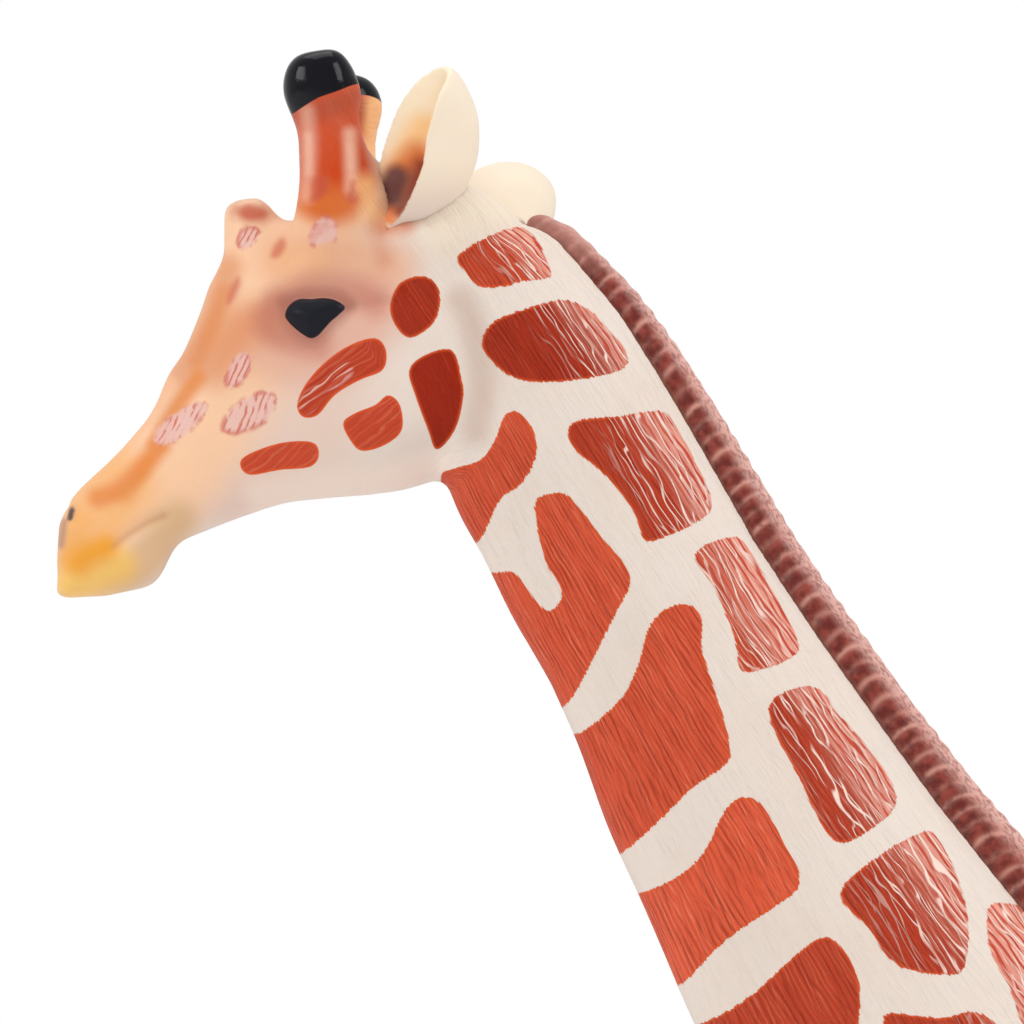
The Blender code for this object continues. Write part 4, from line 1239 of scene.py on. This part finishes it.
def ear_axes(aim, face):
    """Unit vectors along an ear, across it and out of its hollow."""
    aim = Vector(aim).normalized()
    face = Vector(face)
    face = (face - aim * face.dot(aim)).normalized()
    return np.array(aim), np.array(aim.cross(face)), np.array(face)


def ear_root(side):
    """Middle of an ear's root."""
    along, above = (share * HEAD_LENGTH for share in EAR_ROOT_SHARES)
    return POLL + HEAD_AIM * along + HEAD_UP * above + np.array((0, side * EAR_ROOT_OUT, 0))


def bend_ear(piece, side, axes, place):
    """Outer rim curled further round the hollow and the foot of the rim drawn in."""
    along, across, front = place
    outer = -across * side
    curl = EAR_CURL * band(EAR_CURL_START, EAR_CURL_END, along) * smoothstep(*EAR_SIDE, outer)
    curl += EAR_BULGE * band(EAR_BULGE_START, EAR_BULGE_END, along) * smoothstep(*EAR_SIDE, -outer)
    curl *= smoothstep(*EAR_RIM, front)
    foot = EAR_FOOT_LIFT * (1 - smoothstep(*EAR_FOOT_END, along)) * smoothstep(*EAR_FOOT_RIM, front)
    points, _, edges = mesh_arrays(piece.data)
    points = points + curl[:, None] * axes[2] + foot[:, None] * axes[0]
    set_points(piece.data, relax(points, edges, EAR_ROUNDS, np.full(len(points), 0.5)))


def inner_share(normals, edges, face):
    """Where an ear shows the paint of its hollow."""
    inner = smoothstep(0.0, INNER_TURN, normals @ face)
    return relax(np.tile(inner[:, None], 3), edges, INNER_ROUNDS, np.full(len(inner), 0.5))[:, 0]


def dress_ear(nodes, name, side, aim, face, material):
    """Cupped ear with a dark, soft-edged hollow, painted by the near ear's place in the photograph."""
    piece = fine_copy(nodes[name], *EAR_MESH)
    axes = ear_axes(aim, face)
    points, normals, edges = mesh_arrays(piece.data)
    along, across, front = ((points - ear_root(side)) @ axis for axis in axes)
    parts = zip((along, -across * side, front), ear_axes(LEFT_EAR_AIM, LEFT_EAR_FACE))
    pixels = project(ear_root(-1) + sum(share[:, None] * axis for share, axis in parts))
    outside = airbrushed(plain(EAR_CREAM, points), pixels, (EAR_FOOT_STROKE,))
    inside = airbrushed(plain(EAR_INSIDE, points), pixels, EAR_STROKES)
    bend_ear(piece, side, axes, (along, across, front))
    tint = outside + (inside - outside) * inner_share(normals, edges, axes[2])[:, None]
    paint(piece, tint, (across, along), fur=np.full(len(points), EAR_FUR))
    finish_piece(piece, material, name)
    return piece


def rise_share(along, back):
    """Share of the mane's height from the skin to the crest."""
    bins = np.linspace(along.min(), along.max(), MANE_BINS + 1)
    slot = np.clip(np.digitize(along, bins) - 1, 0, MANE_BINS - 1)
    low, high = np.full(MANE_BINS, np.inf), np.full(MANE_BINS, -np.inf)
    np.minimum.at(low, slot, back)
    np.maximum.at(high, slot, back)
    centres = (bins[1:] + bins[:-1]) / 2
    skin = np.interp(along, centres, low) + MANE_ROOT
    crest = np.interp(along, centres, high)
    return np.clip((back - skin) / np.maximum(crest - skin, TOUCH_GAP), 0, 1), back - skin


def dress_mane(nodes, material):
    """Ridge of upright tufts."""
    piece = fine_copy(nodes["mane_strip"], *MANE_MESH)
    points, normals, _ = mesh_arrays(piece.data)
    along, back, _ = neck_place(points)
    rise, height = rise_share(along, back)
    height = np.maximum(height, 0)
    sway = sum(size * np.sin(along / length + phase) for size, length, phase in RIB_SWAYS)
    turns = (along + sway - RIB_SLANT * height + RIB_BEND * height ** 2) / RIB_PITCH
    off = np.abs(turns - np.round(turns)) * RIB_PITCH
    beat = np.sin(np.round(turns) * RIB_BEAT)
    rib = ridge(off, RIB_WIDTH) * (1 + RIB_UNEVENNESS * (beat - 1))
    flank = smoothstep(0.0, FLANK_FOOT, rise) * (1 - CREST_CALM * smoothstep(*CREST_EDGE, rise))
    fade = smoothstep(*MANE_FADE_EDGE, along)
    lobe = np.sin(math.pi * off / RIB_PITCH)
    shift = (RIB_HEIGHT * rib + LOBE_HEIGHT * lobe) * flank * (1 - MANE_FADE_CALM * fade)
    add_values(piece.data, "rib", rib * flank)
    add_values(piece.data, "rise", rise)
    add_values(piece.data, "fade", fade * MANE_FADE)
    add_vectors(piece.data, "hair", np.stack((height, along, points[:, 1]), axis=1) * MILLIMETRES)
    set_points(piece.data, points + normals * shift[:, None])
    finish_piece(piece, material, "mane_strip")


def dress_tail(nodes, material):
    """Tail with a dark tuft."""
    piece = fine_copy(nodes["tail"], *TAIL_MESH)
    points, _, _ = mesh_arrays(piece.data)
    low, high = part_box("tail")
    angle = np.arctan2(points[:, 1], points[:, 0] - (low.x + high.x) / 2)
    hair = angle * TAIL_RADIUS, points[:, 2]
    tuft = 1 - smoothstep(TUFT_LENGTH, TUFT_LENGTH + TUFT_BLEND, points[:, 2] - low.z)
    press_hair(piece, *hair, TAIL_HAIR, HAIR_DEPTH * (1 + TUFT_RELIEF * tuft))
    tint = blend(plain(IVORY, points), TUFT_BROWN, tuft)
    paint(piece, tint, hair, fur=np.ones(len(points)))
    finish_piece(piece, material, "tail")


def make_floor():
    """Plain pale floor that turns white far off."""
    mesh = bpy.data.meshes.new("floor")
    corners = [(x * FLOOR_REACH, y * FLOOR_REACH, 0) for x, y in ((-1, -1), (1, -1), (1, 1), (-1, 1))]
    mesh.from_pydata(corners, [], [(0, 1, 2, 3)])
    g = Graph(bpy.data.materials.new("floor_white"))
    g.shade({
        "Base Color": g.mix(g.noise(g.place(), 3.0), FLOOR_GREY, FLOOR_WHITE),
        "Roughness": 0.8,
    })
    away = g.node("VectorMath", g.place(), operation="LENGTH").outputs["Value"]
    far = g.times(g.ramp(away, *FLOOR_FADE), g.node("LightPath").outputs["Is Camera Ray"])
    mix = g.node("MixShader", far, g.shader.outputs[0], g.node("Emission").outputs[0])
    g.put(g.nodes["Material Output"].inputs["Surface"], mix.outputs[0])
    mesh.materials.append(g.owner)
    linked("floor", mesh)


def make_world():
    """Even pale surroundings that read as white behind the object."""
    world = bpy.data.worlds.new("studio")
    bpy.context.scene.world = world
    g = Graph(world)
    g.nodes.clear()
    light, seen = (g.node("Background", Color=(1, 1, 1, 1), Strength=strength).outputs[0]
                   for strength in (WORLD_LIGHT, 1.0))
    mix = g.node("MixShader", g.node("LightPath").outputs["Is Camera Ray"], light, seen)
    g.node("OutputWorld", Surface=mix.outputs[0])


def add_lamp(name, place, power, width, height):
    """Softbox turned to the animal."""
    lamp = bpy.data.lights.new(name, "AREA")
    lamp.shape = "RECTANGLE"
    lamp.size, lamp.size_y = width, height
    lamp.energy = power
    piece = linked(name, lamp)
    piece.location = place
    piece.rotation_euler = (LAMP_TARGET - Vector(place)).to_track_quat("-Z", "Y").to_euler()


def make_camera():
    """Camera at the photograph's angle."""
    place, right, up, forward = camera_frame()
    data = bpy.data.cameras.new("camera")
    data.sensor_width = SENSOR * MILLIMETRES
    data.lens = LENS * MILLIMETRES
    data.clip_start, data.clip_end = CAMERA_CLIP
    camera = linked("camera", data)
    turn = Matrix((right, up, -forward)).transposed().to_4x4()
    camera.matrix_world = Matrix.Translation(place) @ turn
    bpy.context.scene.camera = camera


def main():
    """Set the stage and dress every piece."""
    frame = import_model()
    nodes = frame["nodes"]
    bpy.context.scene.view_settings.view_transform = "Standard"
    make_camera()
    make_world()
    make_floor()
    for lamp in LAMPS:
        add_lamp(*lamp)
    seeds = coat_seeds(nodes)
    skin = skin_material()
    dress_body(nodes, seeds, skin)
    for name in LEGS:
        dress_leg(nodes, name, seeds, skin)
    ears = (dress_ear(nodes, "left_ear", -1, LEFT_EAR_AIM, LEFT_EAR_FACE, skin),
            dress_ear(nodes, "right_ear", 1, RIGHT_EAR_AIM, RIGHT_EAR_FACE, skin))
    dress_neck(nodes, seeds, ears, skin)
    dress_mane(nodes, mane_material())
    dress_tail(nodes, skin)


main()
